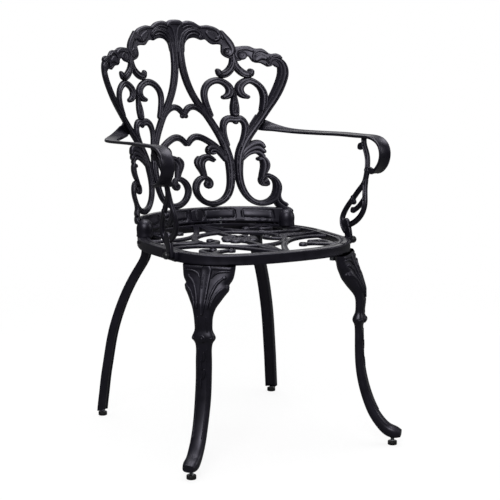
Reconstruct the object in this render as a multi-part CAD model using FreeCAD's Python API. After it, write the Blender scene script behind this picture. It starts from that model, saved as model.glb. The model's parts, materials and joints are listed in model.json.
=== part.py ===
import FreeCAD, Part
import math
import os

from FreeCAD import Vector

# Garden armchair in coated cast metal, bolted together from eight castings.
# Millimetres. +Z is up, the sitter faces -Y, and x is 0 on the plane of symmetry.
# The floor is z 0. Castings are drawn for the sitter's left (+x) and mirrored for the right.

# Seat casting
SEAT_HEIGHT = 415.0          # top of the rim above the floor
SEAT_WIDTH = 408.0
SEAT_DEPTH = 432.0
RIM_WIDTH = 24.0
RIM_THICKNESS = 8.0
APRON_HEIGHT = 20.0
APRON_WALL = 5.0
LATTICE_DROP = 1.5           # lattice top below the rim top; undersides are level
MEDALLION_RADIUS = 94.0      # middle of its band
MEDALLION_BAND = 13.0
MEDALLION_Y = -4.0
ROSETTE_RADIUS = 40.0
BOSS_RADIUS = 10.0           # round bosses under the rim where bolts pass
GUSSET_RADIUS = 20.0         # flat ears on the rim over the front leg bolts

# Back casting
BACK_HEIGHT = 445.0          # crown above the seat's rim
BACK_THICKNESS = 11.0
BACK_RADIUS = 201.0          # inside radius of the bottom rail, seen from above
BACK_FLARE = 0.279           # growth of that radius per mm of height
BACK_RECLINE = 13.6          # degrees
BACK_SETBACK = 197.3         # front of the rail, behind the middle of the feet
RAIL_HEIGHT = 35.0
RAIL_THICKNESS = 14.0
RAIL_PANEL_DEPTH = 1.5
END_BOSS_RADIUS = 16.0
END_BOSS_HEIGHT = 35.0

# Arm castings
ARM_HEIGHT = 209.0           # top of the arm above the seat's rim
TAB_UP = 219.0               # middle of the arm's rear tab above the seat's rim
ARM_WIDTH = 27.0
ARM_THICKNESS = 6.0
ARM_SPAN = 484.0             # between the two arms' centre lines
SUPPORT_THICKNESS = 8.0
SUPPORT_LEAN = 10.5          # degrees, outwards going up
HINGE_HEIGHT = 22.0          # the lean starts this far above the rim top
LUG_WIDTH = 22.0
LUG_PAD = 24.0               # depth of the seat's tapped pad behind the lug
LUG_BOLT_DROP = 7.0          # lug bolt below the rim top
TAB_GAP = 0.02               # paint between the tab and the stile
STILE_FRONT = 90.0           # no part of the stile is in front of this y
TAB_LENGTH = 24.0
ARM_REAR = 80.0              # the arm follows the back behind this y

# Legs
FRONT_LEG_WIDTH = 32.0
FRONT_LEG_DEPTH = 16.5
FRONT_KNEE_WIDTH = 106.0
COLLAR_HEIGHT = 244.5        # foot of the ring on the shank, above the leg's foot
REAR_LEG_WIDTH = 25.0
REAR_LEG_DEPTH = 17.0
FLANGE_THICKNESS = 7.0

# Levelling feet
PAD_DIAMETER = 19.0
PAD_HEIGHT = 8.0
PAD_EDGE = 1.0
FOOT_GAP = 4.0               # stud showing between glide and leg at rest
STUD_DIAMETER = 8.0
STUD_ENGAGEMENT = 15.0       # stud inside the leg at rest
STUD_IN_PAD = 5.0
STUD_TRAVEL_UP = 3.0         # spare depth of the hole above the stud
RUNNING_CLEARANCE = 0.05     # radial, stud in leg and glide on stud

# Fasteners
BOLT_DIAMETER = 8.0
BOLT_CLEARANCE = 0.4         # radial, in the castings' holes
THREAD_CLEARANCE = 0.05      # radial, bolt in its tapped hole
LUG_HEAD_DIAMETER = 12.0     # where it bears; the ball above is wider
LUG_HEAD_HEIGHT = 12.5
HEX_HEAD_HEIGHT = 5.5
BOLT_THREAD = 11.0           # leg bolt inside the seat's boss
LUG_THREAD = 18.0            # lug bolt inside the seat's pad
HEX_FLATS = 13.0
WASHER_DIAMETER = 16.0
SCREW_WASHER_DIAMETER = 12.5
WASHER_THICKNESS = 1.6
SCREW_DIAMETER = 6.0
SCREW_HEAD_DIAMETER = 11.0
SCREW_HEAD_HEIGHT = 4.0
SCREW_GRIP = 8.0             # thread inside the casting it screws into

# The patterns below are drawn at these sizes and stretched to the sizes above.
DRAWN_SEAT_WIDTH = 408.0
DRAWN_SEAT_DEPTH = 432.0
DRAWN_BACK_HEIGHT = 445.0
DRAWN_ARM_HEIGHT = 209.0
DRAWN_ARM_SPAN = 484.0
DRAWN_LEG_LENGTH = 383.0

X_STRETCH = SEAT_WIDTH / DRAWN_SEAT_WIDTH
Y_STRETCH = SEAT_DEPTH / DRAWN_SEAT_DEPTH
BACK_STRETCH = BACK_HEIGHT / DRAWN_BACK_HEIGHT
ARM_STRETCH = ARM_HEIGHT / DRAWN_ARM_HEIGHT
ARM_SHIFT = (ARM_SPAN - DRAWN_ARM_SPAN * X_STRETCH) / 2

APRON_BOTTOM = SEAT_HEIGHT - APRON_HEIGHT
RIM_UNDERSIDE = SEAT_HEIGHT - RIM_THICKNESS
LEG_FOOT = PAD_HEIGHT + FOOT_GAP
LEG_STRETCH = (APRON_BOTTOM - LEG_FOOT) / DRAWN_LEG_LENGTH

# The back's surface is a cone whose axis tips slightly forward.
BACK_INNER_RADIUS = BACK_RADIUS * X_STRETCH
BACK_CENTRE_Y = BACK_SETBACK * Y_STRETCH - BACK_INNER_RADIUS
BACK_AXIS_TILT = math.atan(BACK_FLARE) - math.radians(BACK_RECLINE)

MIRROR_NORMAL = Vector(1, 0, 0)
ORIGIN = Vector(0, 0, 0)
UP = Vector(0, 0, 1)


# Plan and pattern coordinates

def plan(x, y, z=0.0):
    """Point of the seat's plan, stretched with the seat's width and depth."""
    return Vector(x * X_STRETCH, y * Y_STRETCH, z)


def pattern(x, up):
    """Point of the back's front elevation on the plane y 0, up mm above the seat's rim."""
    return Vector(x * X_STRETCH, 0, SEAT_HEIGHT + up * BACK_STRETCH)


def mirrored(shape):
    return shape.mirror(ORIGIN, MIRROR_NORMAL)


def both_sides(shapes):
    return shapes + [mirrored(shape) for shape in shapes]


# Flat strokes: a centre line with a width at each point

def smooth_curve(points):
    curve = Part.BSplineCurve()
    curve.interpolate(points)
    return curve


def stroke_face(points, widths, normal):
    """Flat band along a smooth centre line, with round ends. widths are full widths."""
    centre = smooth_curve(points)
    stations = [centre.parameter(point) for point in points]
    left = []
    right = []
    for index in range(2 * len(points) - 1):
        at = index // 2
        if index % 2 == 0:
            where = stations[at]
            width = widths[at]
        else:
            where = (stations[at] + stations[at + 1]) / 2
            width = (widths[at] + widths[at + 1]) / 2
        tangent = centre.tangent(where)[0]
        across = normal.cross(tangent).normalize()
        middle = centre.value(where)
        left.append(middle + across * (width / 2))
        right.append(middle - across * (width / 2))
    start = centre.tangent(stations[0])[0] * (-widths[0] / 2)
    finish = centre.tangent(stations[-1])[0] * (widths[-1] / 2)
    edges = [
        smooth_curve(left).toShape(),
        Part.Arc(left[-1], points[-1] + finish, right[-1]).toShape(),
        smooth_curve(right).toShape(),
        Part.Arc(right[0], points[0] + start, left[0]).toShape(),
    ]
    return Part.Face(Part.Wire(Part.__sortEdges__(edges)))


def disc_face(centre, radius, normal):
    return Part.Face(Part.Wire(Part.Circle(centre, normal, radius).toShape()))


def curved_outline(runs):
    """Face bounded by smooth runs of points; each run starts where the last one ends."""
    edges = []
    for run in runs:
        if len(run) == 2:
            edges.append(Part.makeLine(run[0], run[1]))
        else:
            edges.append(smooth_curve(run).toShape())
    return Part.Face(Part.Wire(edges))


def united(shapes):
    return shapes[0].multiFuse(shapes[1:]).removeSplitter()


def merged_face(faces):
    """One face, with its openings, from flat faces that overlap each other."""
    pieces = faces[0].multiFuse(faces[1:])
    owners = {}
    for piece in pieces.Faces:
        for edge in piece.Edges:
            owners.setdefault(edge.hashCode(), []).append(edge)
    border = [edges[0] for edges in owners.values() if len(edges) == 1]
    wires = [Part.Wire(run) for run in Part.sortEdges(border)]
    return Part.makeFace(wires, "Part::FaceMakerBullseye")


# Back casting

def back_frame_at(point):
    """Distance along the back's cone axis and towards the rear, from the rail's foot."""
    height = point.z - SEAT_HEIGHT
    behind = point.y - BACK_CENTRE_Y
    along = height * math.cos(BACK_AXIS_TILT) - behind * math.sin(BACK_AXIS_TILT)
    rear = behind * math.cos(BACK_AXIS_TILT) + height * math.sin(BACK_AXIS_TILT)
    return along, rear


def back_point(x, z, depth=0.0):
    """Point of the back's curved surface, depth mm behind its front face."""
    y = BACK_CENTRE_Y + BACK_INNER_RADIUS
    # a few corrections settle y, since the cone's axis is nearly upright
    for _ in range(12):
        along, rear = back_frame_at(Vector(x, y, z))
        radius = BACK_INNER_RADIUS + BACK_FLARE * along + depth
        y += (math.sqrt(radius ** 2 - x ** 2) - rear) / math.cos(BACK_AXIS_TILT)
    return Vector(x, y, z)


def back_normal(x, z, depth=0.0):
    """Unit normal of the back's surface, pointing to the rear."""
    step = 0.5
    along_x = back_point(x + step, z, depth) - back_point(x - step, z, depth)
    along_z = back_point(x, z + step, depth) - back_point(x, z - step, depth)
    return along_z.cross(along_x).normalize()


def curved_wall(near, far):
    """Reclined cone-shaped wall that holds the whole back, between two depths."""
    axis = Vector(0, -math.sin(BACK_AXIS_TILT), math.cos(BACK_AXIS_TILT))
    below = 60.0
    length = BACK_HEIGHT + 2 * below
    foot = Vector(0, BACK_CENTRE_Y, SEAT_HEIGHT) - axis * below
    low = BACK_INNER_RADIUS - BACK_FLARE * below
    high = low + BACK_FLARE * length
    outer = Part.makeCone(low + far, high + far, length, foot, axis)
    inner = Part.makeCone(low + near, high + near, length, foot, axis)
    size = 2 * high
    front_half = Part.makeBox(2 * size, size, 2 * size, Vector(-size, BACK_CENTRE_Y - size, 0))
    return outer.cut([inner, front_half])


def back_pattern():
    """Faces of the left half of the back's openwork: x and height above the rim, widths."""
    front = Vector(0, 1, 0)
    strokes = [
        # inner stem from the crown down into the large inner scroll
        ([(8.5, 391), (9, 345), (14, 315), (24, 285), (37, 260), (53, 235), (67, 210),
          (79, 185), (88, 155), (91.5, 125), (90, 97), (85, 73), (75, 55), (60, 44.5),
          (44, 41.5), (28, 46), (15, 58), (9.5, 74), (13, 88), (23, 97), (35, 98),
          (44, 92), (44.5, 83)],
         [17, 17, 17, 16, 16, 16, 16, 17, 18, 19, 17, 15, 14, 13, 13, 13, 14, 16, 16, 14,
          12, 11, 10]),
        # outer stile from its top curl down into the small outer scroll
        ([(190, 353), (199, 359), (209, 354), (213.5, 342), (212, 323), (206, 305),
          (197, 285), (186, 265), (173, 245), (160, 225), (146, 205), (132, 185),
          (121, 165), (113, 145), (109, 125), (107, 97), (110, 75), (118, 57),
          (129, 46), (141, 42.5), (153, 46), (163, 56), (168.5, 71), (170, 85),
          (166, 96), (157, 100), (149, 94), (149, 85)],
         [10, 12, 14, 16, 17, 17, 17, 16, 16, 16, 17, 18, 19, 18, 17, 15, 14, 13, 13, 13,
          12, 12, 12, 12, 11, 11, 9, 9]),
        # inner and outer band of the heart
        ([(62, 235), (54, 263), (53, 283), (59, 297), (71, 307), (87, 310), (101, 304),
          (110, 291), (106, 278), (95, 273)],
         [12, 13, 13, 14, 14, 14, 14, 15, 14, 10]),
        ([(168, 245), (174, 270), (172, 291), (163, 304), (150, 310), (138, 305),
          (129, 292), (133, 279), (143, 274)],
         [12, 13, 13, 13, 14, 14, 15, 14, 10]),
        # two curls below the crown's valley
        ([(124, 369), (120, 349), (113, 334), (104, 325), (96, 324.5), (91, 329)],
         [12, 12, 14, 16, 16, 12]),
        ([(124, 369), (128, 349), (135, 334), (143, 325), (150, 325), (155, 330)],
         [12, 12, 14, 16, 16, 12]),
        # drop that hangs from the heart onto the horseshoe
        ([(118.5, 281), (116, 260), (114.5, 243), (113.5, 227)], [11, 17, 18, 14]),
        # horseshoe between the two stems
        ([(90, 170), (86.5, 191), (86.5, 207), (91, 220), (101, 226), (112, 225),
          (123, 226), (131, 217), (132, 203), (127, 185), (119, 165)],
         [12, 12, 13, 15, 16, 16, 16, 14, 14, 13, 12]),
        # leaf arch at the centre
        ([(3, 240), (10, 249), (21, 253.5), (36, 249), (48, 239), (58, 226)],
         [12, 14, 14, 13, 13, 12]),
        # lower arch and the leaf curl beneath it
        ([(3, 174), (11, 183), (23, 188), (37, 185), (51, 177), (66, 165), (80, 147)],
         [12, 14, 15, 15, 15, 15, 14]),
        ([(49, 158.5), (58, 160), (68, 154), (79, 140)], [12, 12, 12, 12]),
        # leaf that stands on the inner scroll
        ([(34, 101), (28, 115), (26, 130), (33, 140), (46, 142), (57, 137)],
         [12, 15, 19, 17, 13, 10]),
        # leaf on the stile and the leaf between it and the outer scroll
        ([(126, 157), (138, 165), (150, 168), (159, 162)], [12, 17, 18, 13]),
        ([(152, 164), (157, 148), (157, 130), (153, 113), (149, 97)],
         [13, 15, 15, 12, 9]),
        # small leaf above the end boss
        ([(168, 69), (169.5, 53), (174, 41), (177, 27)], [9, 10, 12, 14]),
    ]
    faces = [
        stroke_face([pattern(x, up) for x, up in points], widths, front)
        for points, widths in strokes
    ]
    faces.append(disc_face(pattern(40.5, 87.5), 11.5, front))
    faces.append(disc_face(pattern(151, 87.5), 10.0, front))
    faces.append(crown_face())
    return faces


def crown_face():
    """Crown and shoulder: leaf arcs above, scroll bellies below, cusps between them."""
    runs = [
        [(0, 445), (10, 444.5), (20, 440)],
        [(20, 440), (37, 442), (50, 437), (60, 431)],
        [(60, 431), (75, 432.5), (90, 429), (104, 419), (118, 398), (129, 385)],
        [(129, 385), (140, 385.5), (153, 387), (169, 380.5)],
        [(169, 380.5), (178, 381), (187, 377), (195, 369)],
        [(195, 369), (206, 370), (216, 364), (221.5, 347)],
        [(221.5, 347), (205, 337)],
        [(205, 337), (197, 344), (188, 341)],
        [(188, 341), (176, 348), (163, 350), (156, 362)],
        [(156, 362), (146, 359), (138, 353.5), (130, 353)],
        [(130, 353), (119, 357)],
        [(119, 357), (106, 361), (101, 372), (104, 385)],
        [(104, 385), (92, 389.5), (80, 390), (68, 400), (57, 399)],
        [(57, 399), (43, 404), (30, 401), (20, 389), (16.5, 365)],
        [(16.5, 365), (0, 365)],
        [(0, 365), (0, 445)],
    ]
    return curved_outline([[pattern(x, up) for x, up in run] for run in runs])


def rail_panels():
    """Rounded recesses along the front of the rail, one side."""
    panels = []
    for x_low, x_high in ((20, 89), (100, 157)):
        low = pattern(x_low, 13)
        high = pattern(x_high, 30)
        block = Part.makeBox(high.x - low.x, 400, high.z - low.z, low)
        corners = [edge for edge in block.Edges if abs(edge.tangentAt(0).y) > 0.9]
        panels.append(block.makeFillet(4.0, corners))
    return panels


def end_boss_place():
    """Axis of the rail's end boss in plan: on the middle line of the rim."""
    x = 170.0 * X_STRETCH
    return Vector(x, back_point(x, SEAT_HEIGHT + RAIL_HEIGHT / 2).y - 6.0, SEAT_HEIGHT)


def rail_bolt_places():
    """Bolts that hold the back down: one in each end boss, one in each half of the rail."""
    inner_x = 56.0 * X_STRETCH
    inner_y = back_point(inner_x, SEAT_HEIGHT, RAIL_THICKNESS / 2 - 3.5).y
    return both_places([end_boss_place(), Vector(inner_x, inner_y, SEAT_HEIGHT)])


def both_places(places):
    return places + [Vector(-p.x, p.y, p.z) for p in places]


def build_back():
    reach = 500.0
    face = merged_face(both_sides(back_pattern()))
    openwork = face.extrude(Vector(0, reach, 0))
    casting = openwork.common(curved_wall(0.0, BACK_THICKNESS))

    rail_front = -1.5
    rail_wall = curved_wall(rail_front, rail_front + RAIL_THICKNESS)
    rail_end = end_boss_place().x
    rail_block = Part.makeBox(2 * rail_end, reach, RAIL_HEIGHT, Vector(-rail_end, 0, SEAT_HEIGHT))
    rail = rail_wall.common(rail_block)
    recess_wall = curved_wall(rail_front - 5, rail_front + RAIL_PANEL_DEPTH)
    recesses = [panel.common(recess_wall) for panel in both_sides(rail_panels())]

    bosses = []
    place = end_boss_place()
    straight = END_BOSS_HEIGHT - END_BOSS_RADIUS
    column = Part.makeCylinder(END_BOSS_RADIUS, straight, place)
    cap = Part.makeSphere(END_BOSS_RADIUS, place + Vector(0, 0, straight))
    bosses = both_sides([united([column, cap])])
    casting = united([casting, rail] + bosses)
    casting = casting.cut(recesses)

    hole_radius = SCREW_DIAMETER / 2 + THREAD_CLEARANCE
    holes = [
        Part.makeCylinder(hole_radius, SCREW_GRIP + SCREW_DIAMETER, place)
        for place in rail_bolt_places()
    ]
    place, normal = tab_place()
    start = place - normal * SCREW_GRIP
    tab_hole = Part.makeCylinder(hole_radius, SCREW_GRIP + 5, start, normal)
    holes += both_sides([tab_hole])
    return casting.cut(holes)


# Seat casting

def seat_outline(inset=0.0):
    """Closed plan outline of the seat, moved inwards by inset."""
    half = [
        (60, -215), (105, -206), (135, -193), (160, -174), (178, -152), (191, -124),
        (198, -90), (202, -45), (204, 5), (201, 48), (190, 88), (175, 125), (154, 160),
        (122, 188), (75, 206),
    ]
    points = [plan(0, -218)]
    points += [plan(x, y) for x, y in half]
    points.append(plan(0, 214))
    points += [plan(-x, y) for x, y in reversed(half)]
    outline = Part.BSplineCurve()
    outline.interpolate(Points=points, PeriodicFlag=True)
    if inset == 0:
        return Part.Wire(outline.toShape())
    start = outline.FirstParameter
    end = outline.LastParameter
    samples = 2 * len(points)
    moved = []
    for index in range(samples):
        at = start + (end - start) * index / samples
        inwards = UP.cross(outline.tangent(at)[0])
        moved.append(outline.value(at) + inwards * inset)
    inner = Part.BSplineCurve()
    inner.interpolate(Points=moved, PeriodicFlag=True)
    return Part.Wire(inner.toShape())


def ring_face(width):
    """Band of the plan between the seat's edge and a line width mm inside it."""
    return Part.makeFace([seat_outline(), seat_outline(width)], "Part::FaceMakerBullseye")


def slab(face, bottom, top):
    lifted = face.copy()
    lifted.translate(Vector(0, 0, bottom))
    return lifted.extrude(Vector(0, 0, top - bottom))


def oval_face(radius):
    """Face of the medallion's round outlines, stretched with the plan."""
    curve = Part.BSplineCurve()
    steps = [math.radians(20 * index) for index in range(18)]
    points = [plan(radius * math.sin(a), MEDALLION_Y - radius * math.cos(a)) for a in steps]
    curve.interpolate(Points=points, PeriodicFlag=True)
    return Part.Face(Part.Wire(curve.toShape()))


def lattice_strokes():
    """Plan strokes with widths: those on the plane of symmetry, then the left half's."""
    middle = [
        # leaves from the rim to the medallion, then its spokes
        ([(0, -206), (0, -160), (0, -124), (0, -98)], [12, 16, 30, 18]),
        ([(0, 204), (0, 156), (0, 118), (0, 90)], [12, 16, 30, 18]),
        ([(0, -98), (0, -70), (0, -30)], [14, 13, 16]),
        ([(0, 90), (0, 62), (0, 22)], [14, 13, 16]),
    ]
    left = [
        ([(94, -4), (118, -4), (146, -4), (196, -4)], [18, 28, 14, 12]),
        # loops from the middle of the front and of the rear to the sides
        ([(0, -206), (20, -160), (46, -110), (80, -68), (122, -45), (160, -44), (196, -58)],
         [14, 13, 13, 13, 13, 13, 13]),
        ([(0, 204), (22, 156), (48, 103), (80, 62), (124, 44), (162, 46), (196, 62)],
         [14, 13, 13, 13, 13, 13, 13]),
        # scrolls that spring from the corners into the loops
        ([(152, -170), (130, -146), (106, -124), (84, -122)], [14, 13, 12, 10]),
        ([(133, -150), (142, -122), (132, -98), (114, -100)], [12, 11, 11, 10]),
        ([(140, 166), (122, 140), (102, 118), (82, 118)], [14, 13, 12, 10]),
        ([(125, 144), (136, 120), (128, 98), (112, 98)], [12, 11, 11, 10]),
        # hook inside the medallion
        ([(88, -38), (70, -30), (57, -12), (65, 5)], [12, 12, 11, 10]),
    ]
    return middle, left


def lattice_faces():
    middle, left = lattice_strokes()
    centre = plan(0, MEDALLION_Y)
    faces = [
        oval_face(MEDALLION_RADIUS + MEDALLION_BAND / 2).cut(
            oval_face(MEDALLION_RADIUS - MEDALLION_BAND / 2)).Faces[0],
        disc_face(centre, ROSETTE_RADIUS * 0.8, UP),
    ]
    for index in range(8):
        angle = math.radians(45 * index)
        across = Vector(math.sin(angle), math.cos(angle), 0) * (ROSETTE_RADIUS * 0.7)
        faces.append(disc_face(centre + across, ROSETTE_RADIUS * 0.3, UP))
    for points, widths in middle:
        faces.append(stroke_face([plan(x, y) for x, y in points], widths, UP))
    half = [stroke_face([plan(x, y) for x, y in points], widths, UP) for points, widths in left]
    balls = [(82, -124, 9.0), (112, -104, 8.0), (80, 118, 9.0), (110, 102, 8.0), (66, 2, 8.0)]
    half += [disc_face(plan(x, y), radius, UP) for x, y, radius in balls]
    return faces + both_sides(half)


def lug_place():
    """Centre of the arm's lug bolt, on the outer face of the seat's mounting pad."""
    point = plan(201.0, -104.0)
    return Vector(point.x, point.y, SEAT_HEIGHT - LUG_BOLT_DROP)


def plan_discs(places, radius, within):
    """Round faces at places in the plan, trimmed to the face within."""
    discs = [disc_face(Vector(place.x, place.y, 0), radius, UP) for place in places]
    return [disc.common(within).Faces[0] for disc in discs]


def build_seat():
    whole = Part.Face(seat_outline())
    front = both_places(front_bolt_places())
    leg_bolts = front + both_places(rear_bolt_places())
    lug = lug_place()
    corner = Vector(lug.x - LUG_PAD, lug.y - LUG_WIDTH / 2, 0)
    pads = both_sides([Part.makePlane(LUG_PAD, LUG_WIDTH, corner)])
    rim = [ring_face(RIM_WIDTH)] + plan_discs(front, GUSSET_RADIUS, whole) + pads
    apron = [ring_face(APRON_WALL)] + plan_discs(leg_bolts, BOSS_RADIUS, whole) + pads
    lattice_top = SEAT_HEIGHT - LATTICE_DROP
    layers = [
        (APRON_BOTTOM, RIM_UNDERSIDE, apron),
        (RIM_UNDERSIDE, lattice_top, rim + lattice_faces()),
        (lattice_top, SEAT_HEIGHT, rim),
    ]
    screw_holes = plan_discs(rail_bolt_places(), SCREW_DIAMETER / 2 + BOLT_CLEARANCE, whole)
    slabs = [slab(merged_face(faces).cut(screw_holes), low, high) for low, high, faces in layers]
    casting = united(slabs)
    thread_radius = BOLT_DIAMETER / 2 + THREAD_CLEARANCE
    depth = LUG_THREAD + 2
    lug_hole = Part.makeCylinder(thread_radius, depth + 20, lug - Vector(depth, 0, 0), MIRROR_NORMAL)
    cutters = both_sides([lug_hole])
    for place in leg_bolts:
        start = Vector(place.x, place.y, APRON_BOTTOM - 1)
        cutters.append(Part.makeCylinder(thread_radius, BOLT_THREAD + 2, start))
    return casting.cut(cutters).Solids[0]


# Legs: each lies in an upright plane through a point of the plan

FRONT_KNEE = (176.0, -190.0)
FRONT_OUT = Vector(0.727, -0.686, 0).normalize()
REAR_KNEE = (160.0, 194.0)
REAR_OUT = Vector(0.745, 0.667, 0).normalize()
FRONT_BOLT_INSET = 52.0
FRONT_BOLT_SPREAD = 17.0
REAR_BOLT_INSET = 43.0
REAR_BOLT_SPREAD = 23.0


def leg_point(knee, out, reach, side, z):
    across = UP.cross(out)
    base = plan(knee[0], knee[1])
    return base + out * reach + across * side + Vector(0, 0, z)


def front_bolt_places():
    return [
        leg_point(FRONT_KNEE, FRONT_OUT, -FRONT_BOLT_INSET, side * FRONT_BOLT_SPREAD, 0)
        for side in (-1, 1)
    ]


def rear_bolt_places():
    return [
        leg_point(REAR_KNEE, REAR_OUT, -REAR_BOLT_INSET, side * REAR_BOLT_SPREAD, 0)
        for side in (-1, 1)
    ]


def leg_section(knee, out, station, box_like):
    """Closed section square to the leg: an oval, or a box with straight sides."""
    reach, z, tilt, depth, width = station
    lean = math.radians(tilt)
    # the leg runs down along (sin, -cos), so its depth lies along (cos, sin)
    deep = out * math.cos(lean) + UP * math.sin(lean)
    wide = UP.cross(out)
    height = LEG_FOOT + (z - LEG_FOOT) * LEG_STRETCH
    centre = leg_point(knee, out, reach, 0, height)
    if box_like:
        corners = [
            centre + deep * (a * depth / 2) + wide * (b * width / 2)
            for a, b in ((1, 1), (-1, 1), (-1, -1), (1, -1))
        ]
        return Part.makePolygon(corners + [corners[0]])
    points = []
    for index in range(12):
        angle = math.radians(30 * index)
        # a fuller oval, between an ellipse and a rectangle
        c = math.copysign(abs(math.cos(angle)) ** 0.75, math.cos(angle))
        s = math.copysign(abs(math.sin(angle)) ** 0.75, math.sin(angle))
        points.append(centre + deep * (c * depth / 2) + wide * (s * width / 2))
    curve = Part.BSplineCurve()
    curve.interpolate(Points=points, PeriodicFlag=True)
    return Part.Wire(curve.toShape())


def flange(knee, out, inner, outer, half_width):
    """Flat plate that bears on the underside of the seat."""
    bottom = APRON_BOTTOM - FLANGE_THICKNESS
    corners = [
        leg_point(knee, out, reach, side, bottom)
        for reach, side in ((inner, half_width), (inner, -half_width),
                            (outer, -half_width), (outer, half_width))
    ]
    plate = Part.Face(Part.makePolygon(corners + [corners[0]])).extrude(
        Vector(0, 0, FLANGE_THICKNESS))
    uprights = [edge for edge in plate.Edges if abs(edge.tangentAt(0).z) > 0.9]
    return plate.makeFillet(6.0, uprights)


def bolt_holes(places):
    radius = BOLT_DIAMETER / 2 + BOLT_CLEARANCE
    return [
        Part.makeCylinder(radius, 60, Vector(p.x, p.y, APRON_BOTTOM - 30)) for p in places
    ]


def stud_hole(place):
    depth = STUD_ENGAGEMENT + STUD_TRAVEL_UP + 0.5
    radius = STUD_DIAMETER / 2 + RUNNING_CLEARANCE
    return Part.makeCylinder(radius, depth + 5, Vector(place.x, place.y, LEG_FOOT - 5))


def finish_leg(solid, places, foot):
    """Trims a leg level at the foot and under the seat, and drills it."""
    size = 2000.0
    below = Part.makeBox(size, size, size, Vector(-size / 2, -size / 2, LEG_FOOT - size))
    above = Part.makeBox(size, size, size, Vector(-size / 2, -size / 2, APRON_BOTTOM))
    cutters = [below, above, stud_hole(foot)] + bolt_holes(places)
    return solid.cut(cutters)


FRONT_FOOT_REACH = 72.8
REAR_FOOT_REACH = 70.5


def front_foot_place():
    return leg_point(FRONT_KNEE, FRONT_OUT, FRONT_FOOT_REACH, 0, 0)


def rear_foot_place():
    return leg_point(REAR_KNEE, REAR_OUT, REAR_FOOT_REACH, 0, 0)


def build_front_leg():
    """Cabriole leg: broad leaf knee, collar, slim shank, toe turned outwards."""
    w = FRONT_LEG_WIDTH
    d = FRONT_LEG_DEPTH
    k = FRONT_KNEE_WIDTH
    # reach outwards, height, tilt, depth, width
    stations = [
        (-32, 402, 0, 28, k + 2),
        (-29, 380, 8, 30, k - 2),
        (-22, 358, 14, 34, k - 14),
        (-12, 338, 16, 32, k - 34),
        (-2.5, 320, 12, 26, k - 56),
        (2.5, 300, 4, 19, w + 7),
        (2, 283, 0, 17, w + 5),
        (0.5, 262, 0, 26, w + 14),
        (0.3, 246, 0, 16.5, w + 2),
        (0.8, 220, 0, d - 0.5, w),
        (1.5, 190, 2, d, w),
        (3.5, 165, 6, d + 1, w),
        (7.5, 140, 12, d + 2, w),
        (14, 114, 18, d + 3, w - 1),
        (23, 88, 23, d + 4, w - 2),
        (35, 63, 30, d + 5, w - 2),
        (49, 44, 44, d + 6, w - 2),
        (64, 31, 62, d + 8, w - 2),
        (80, 26, 80, d + 6, w - 3),
        (90, 24.5, 86, d - 2, w - 9),
    ]
    sections = [leg_section(FRONT_KNEE, FRONT_OUT, s, False) for s in stations]
    blade = Part.makeLoft(sections, True, False)
    collar = leg_point(FRONT_KNEE, FRONT_OUT, 0.5, 0, LEG_FOOT + COLLAR_HEIGHT * LEG_STRETCH)
    ring = Part.makeCylinder(12.0, 9.0, collar)
    plate = flange(FRONT_KNEE, FRONT_OUT, -66, -26, 32)
    rib_corners = [(-60, APRON_BOTTOM - 3), (-20, APRON_BOTTOM - 3), (-8, APRON_BOTTOM - 62),
                   (-20, APRON_BOTTOM - 60), (-38, APRON_BOTTOM - 36)]
    rib_points = [leg_point(FRONT_KNEE, FRONT_OUT, r, -4.5, z) for r, z in rib_corners]
    rib = Part.Face(Part.makePolygon(rib_points + [rib_points[0]])).extrude(
        UP.cross(FRONT_OUT) * 9.0)
    solid = united([blade, ring, plate, rib])
    return finish_leg(solid, front_bolt_places(), front_foot_place())


def build_rear_leg():
    """Sabre leg: short upright stub, then a long curve down and outwards."""
    w = REAR_LEG_WIDTH
    d = REAR_LEG_DEPTH
    stations = [
        (-36, 400, 0), (-36, 375, 2), (-33, 358, 16), (-25, 342, 28), (-15, 326, 32),
        (0, 300, 28), (15.5, 268, 25), (28.5, 235, 21), (39, 203, 16), (47, 170, 11),
        (54.5, 128, 8.5), (61, 90, 8), (66, 52, 7.5), (71, 12, 7), (71.5, 6, 7),
    ]
    sections = [
        leg_section(REAR_KNEE, REAR_OUT, (r, z, t, d, w), True) for r, z, t in stations
    ]
    blade = Part.makeLoft(sections, True, False)
    plate = flange(REAR_KNEE, REAR_OUT, -58, -28, 34)
    solid = united([blade, plate])
    return finish_leg(solid, rear_bolt_places(), rear_foot_place())


# Arms

def stile_point(up):
    """Point of the stile's middle in the pattern, up mm above the rim before the arm is stretched."""
    height = up * ARM_STRETCH / BACK_STRETCH
    line = [(121, 165), (132, 185), (147, 205), (156, 219), (160, 225), (173, 245), (186, 265)]
    below, above = line[0], line[1]
    for lower, upper in zip(line, line[1:]):
        if lower[1] <= height:
            below, above = lower, upper
    share = (height - below[1]) / (above[1] - below[1])
    return pattern(below[0] + (above[0] - below[0]) * share, height)


def tab_place():
    """Screw axis of the arm's rear tab, on the rear face of the stile, and its normal."""
    point = stile_point(TAB_UP)
    place = back_point(point.x, point.z, BACK_THICKNESS)
    return place, back_normal(point.x, point.z, BACK_THICKNESS)


def tab_frame():
    """Place, width direction, direction towards the arm and outward normal of the tab."""
    place, normal = tab_place()
    low = stile_point(TAB_UP - 14)
    high = stile_point(TAB_UP + 6)
    rise = back_point(high.x, high.z, BACK_THICKNESS) - back_point(low.x, low.z, BACK_THICKNESS)
    wide = rise.normalize()
    along = normal.cross(wide).normalize()
    return place, wide, along, normal


def build_tab():
    """Flat end of the strip, behind the stile."""
    place, wide, along, normal = tab_frame()
    corners = [
        place + along * (a * TAB_LENGTH / 2) + wide * (b * ARM_WIDTH / 2)
        for a, b in ((-1, -1), (1, -1), (1, 1), (-1, 1))
    ]
    outline = Part.makePolygon(corners + [corners[0]])
    return Part.Face(outline).extrude(normal * ARM_THICKNESS)


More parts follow.
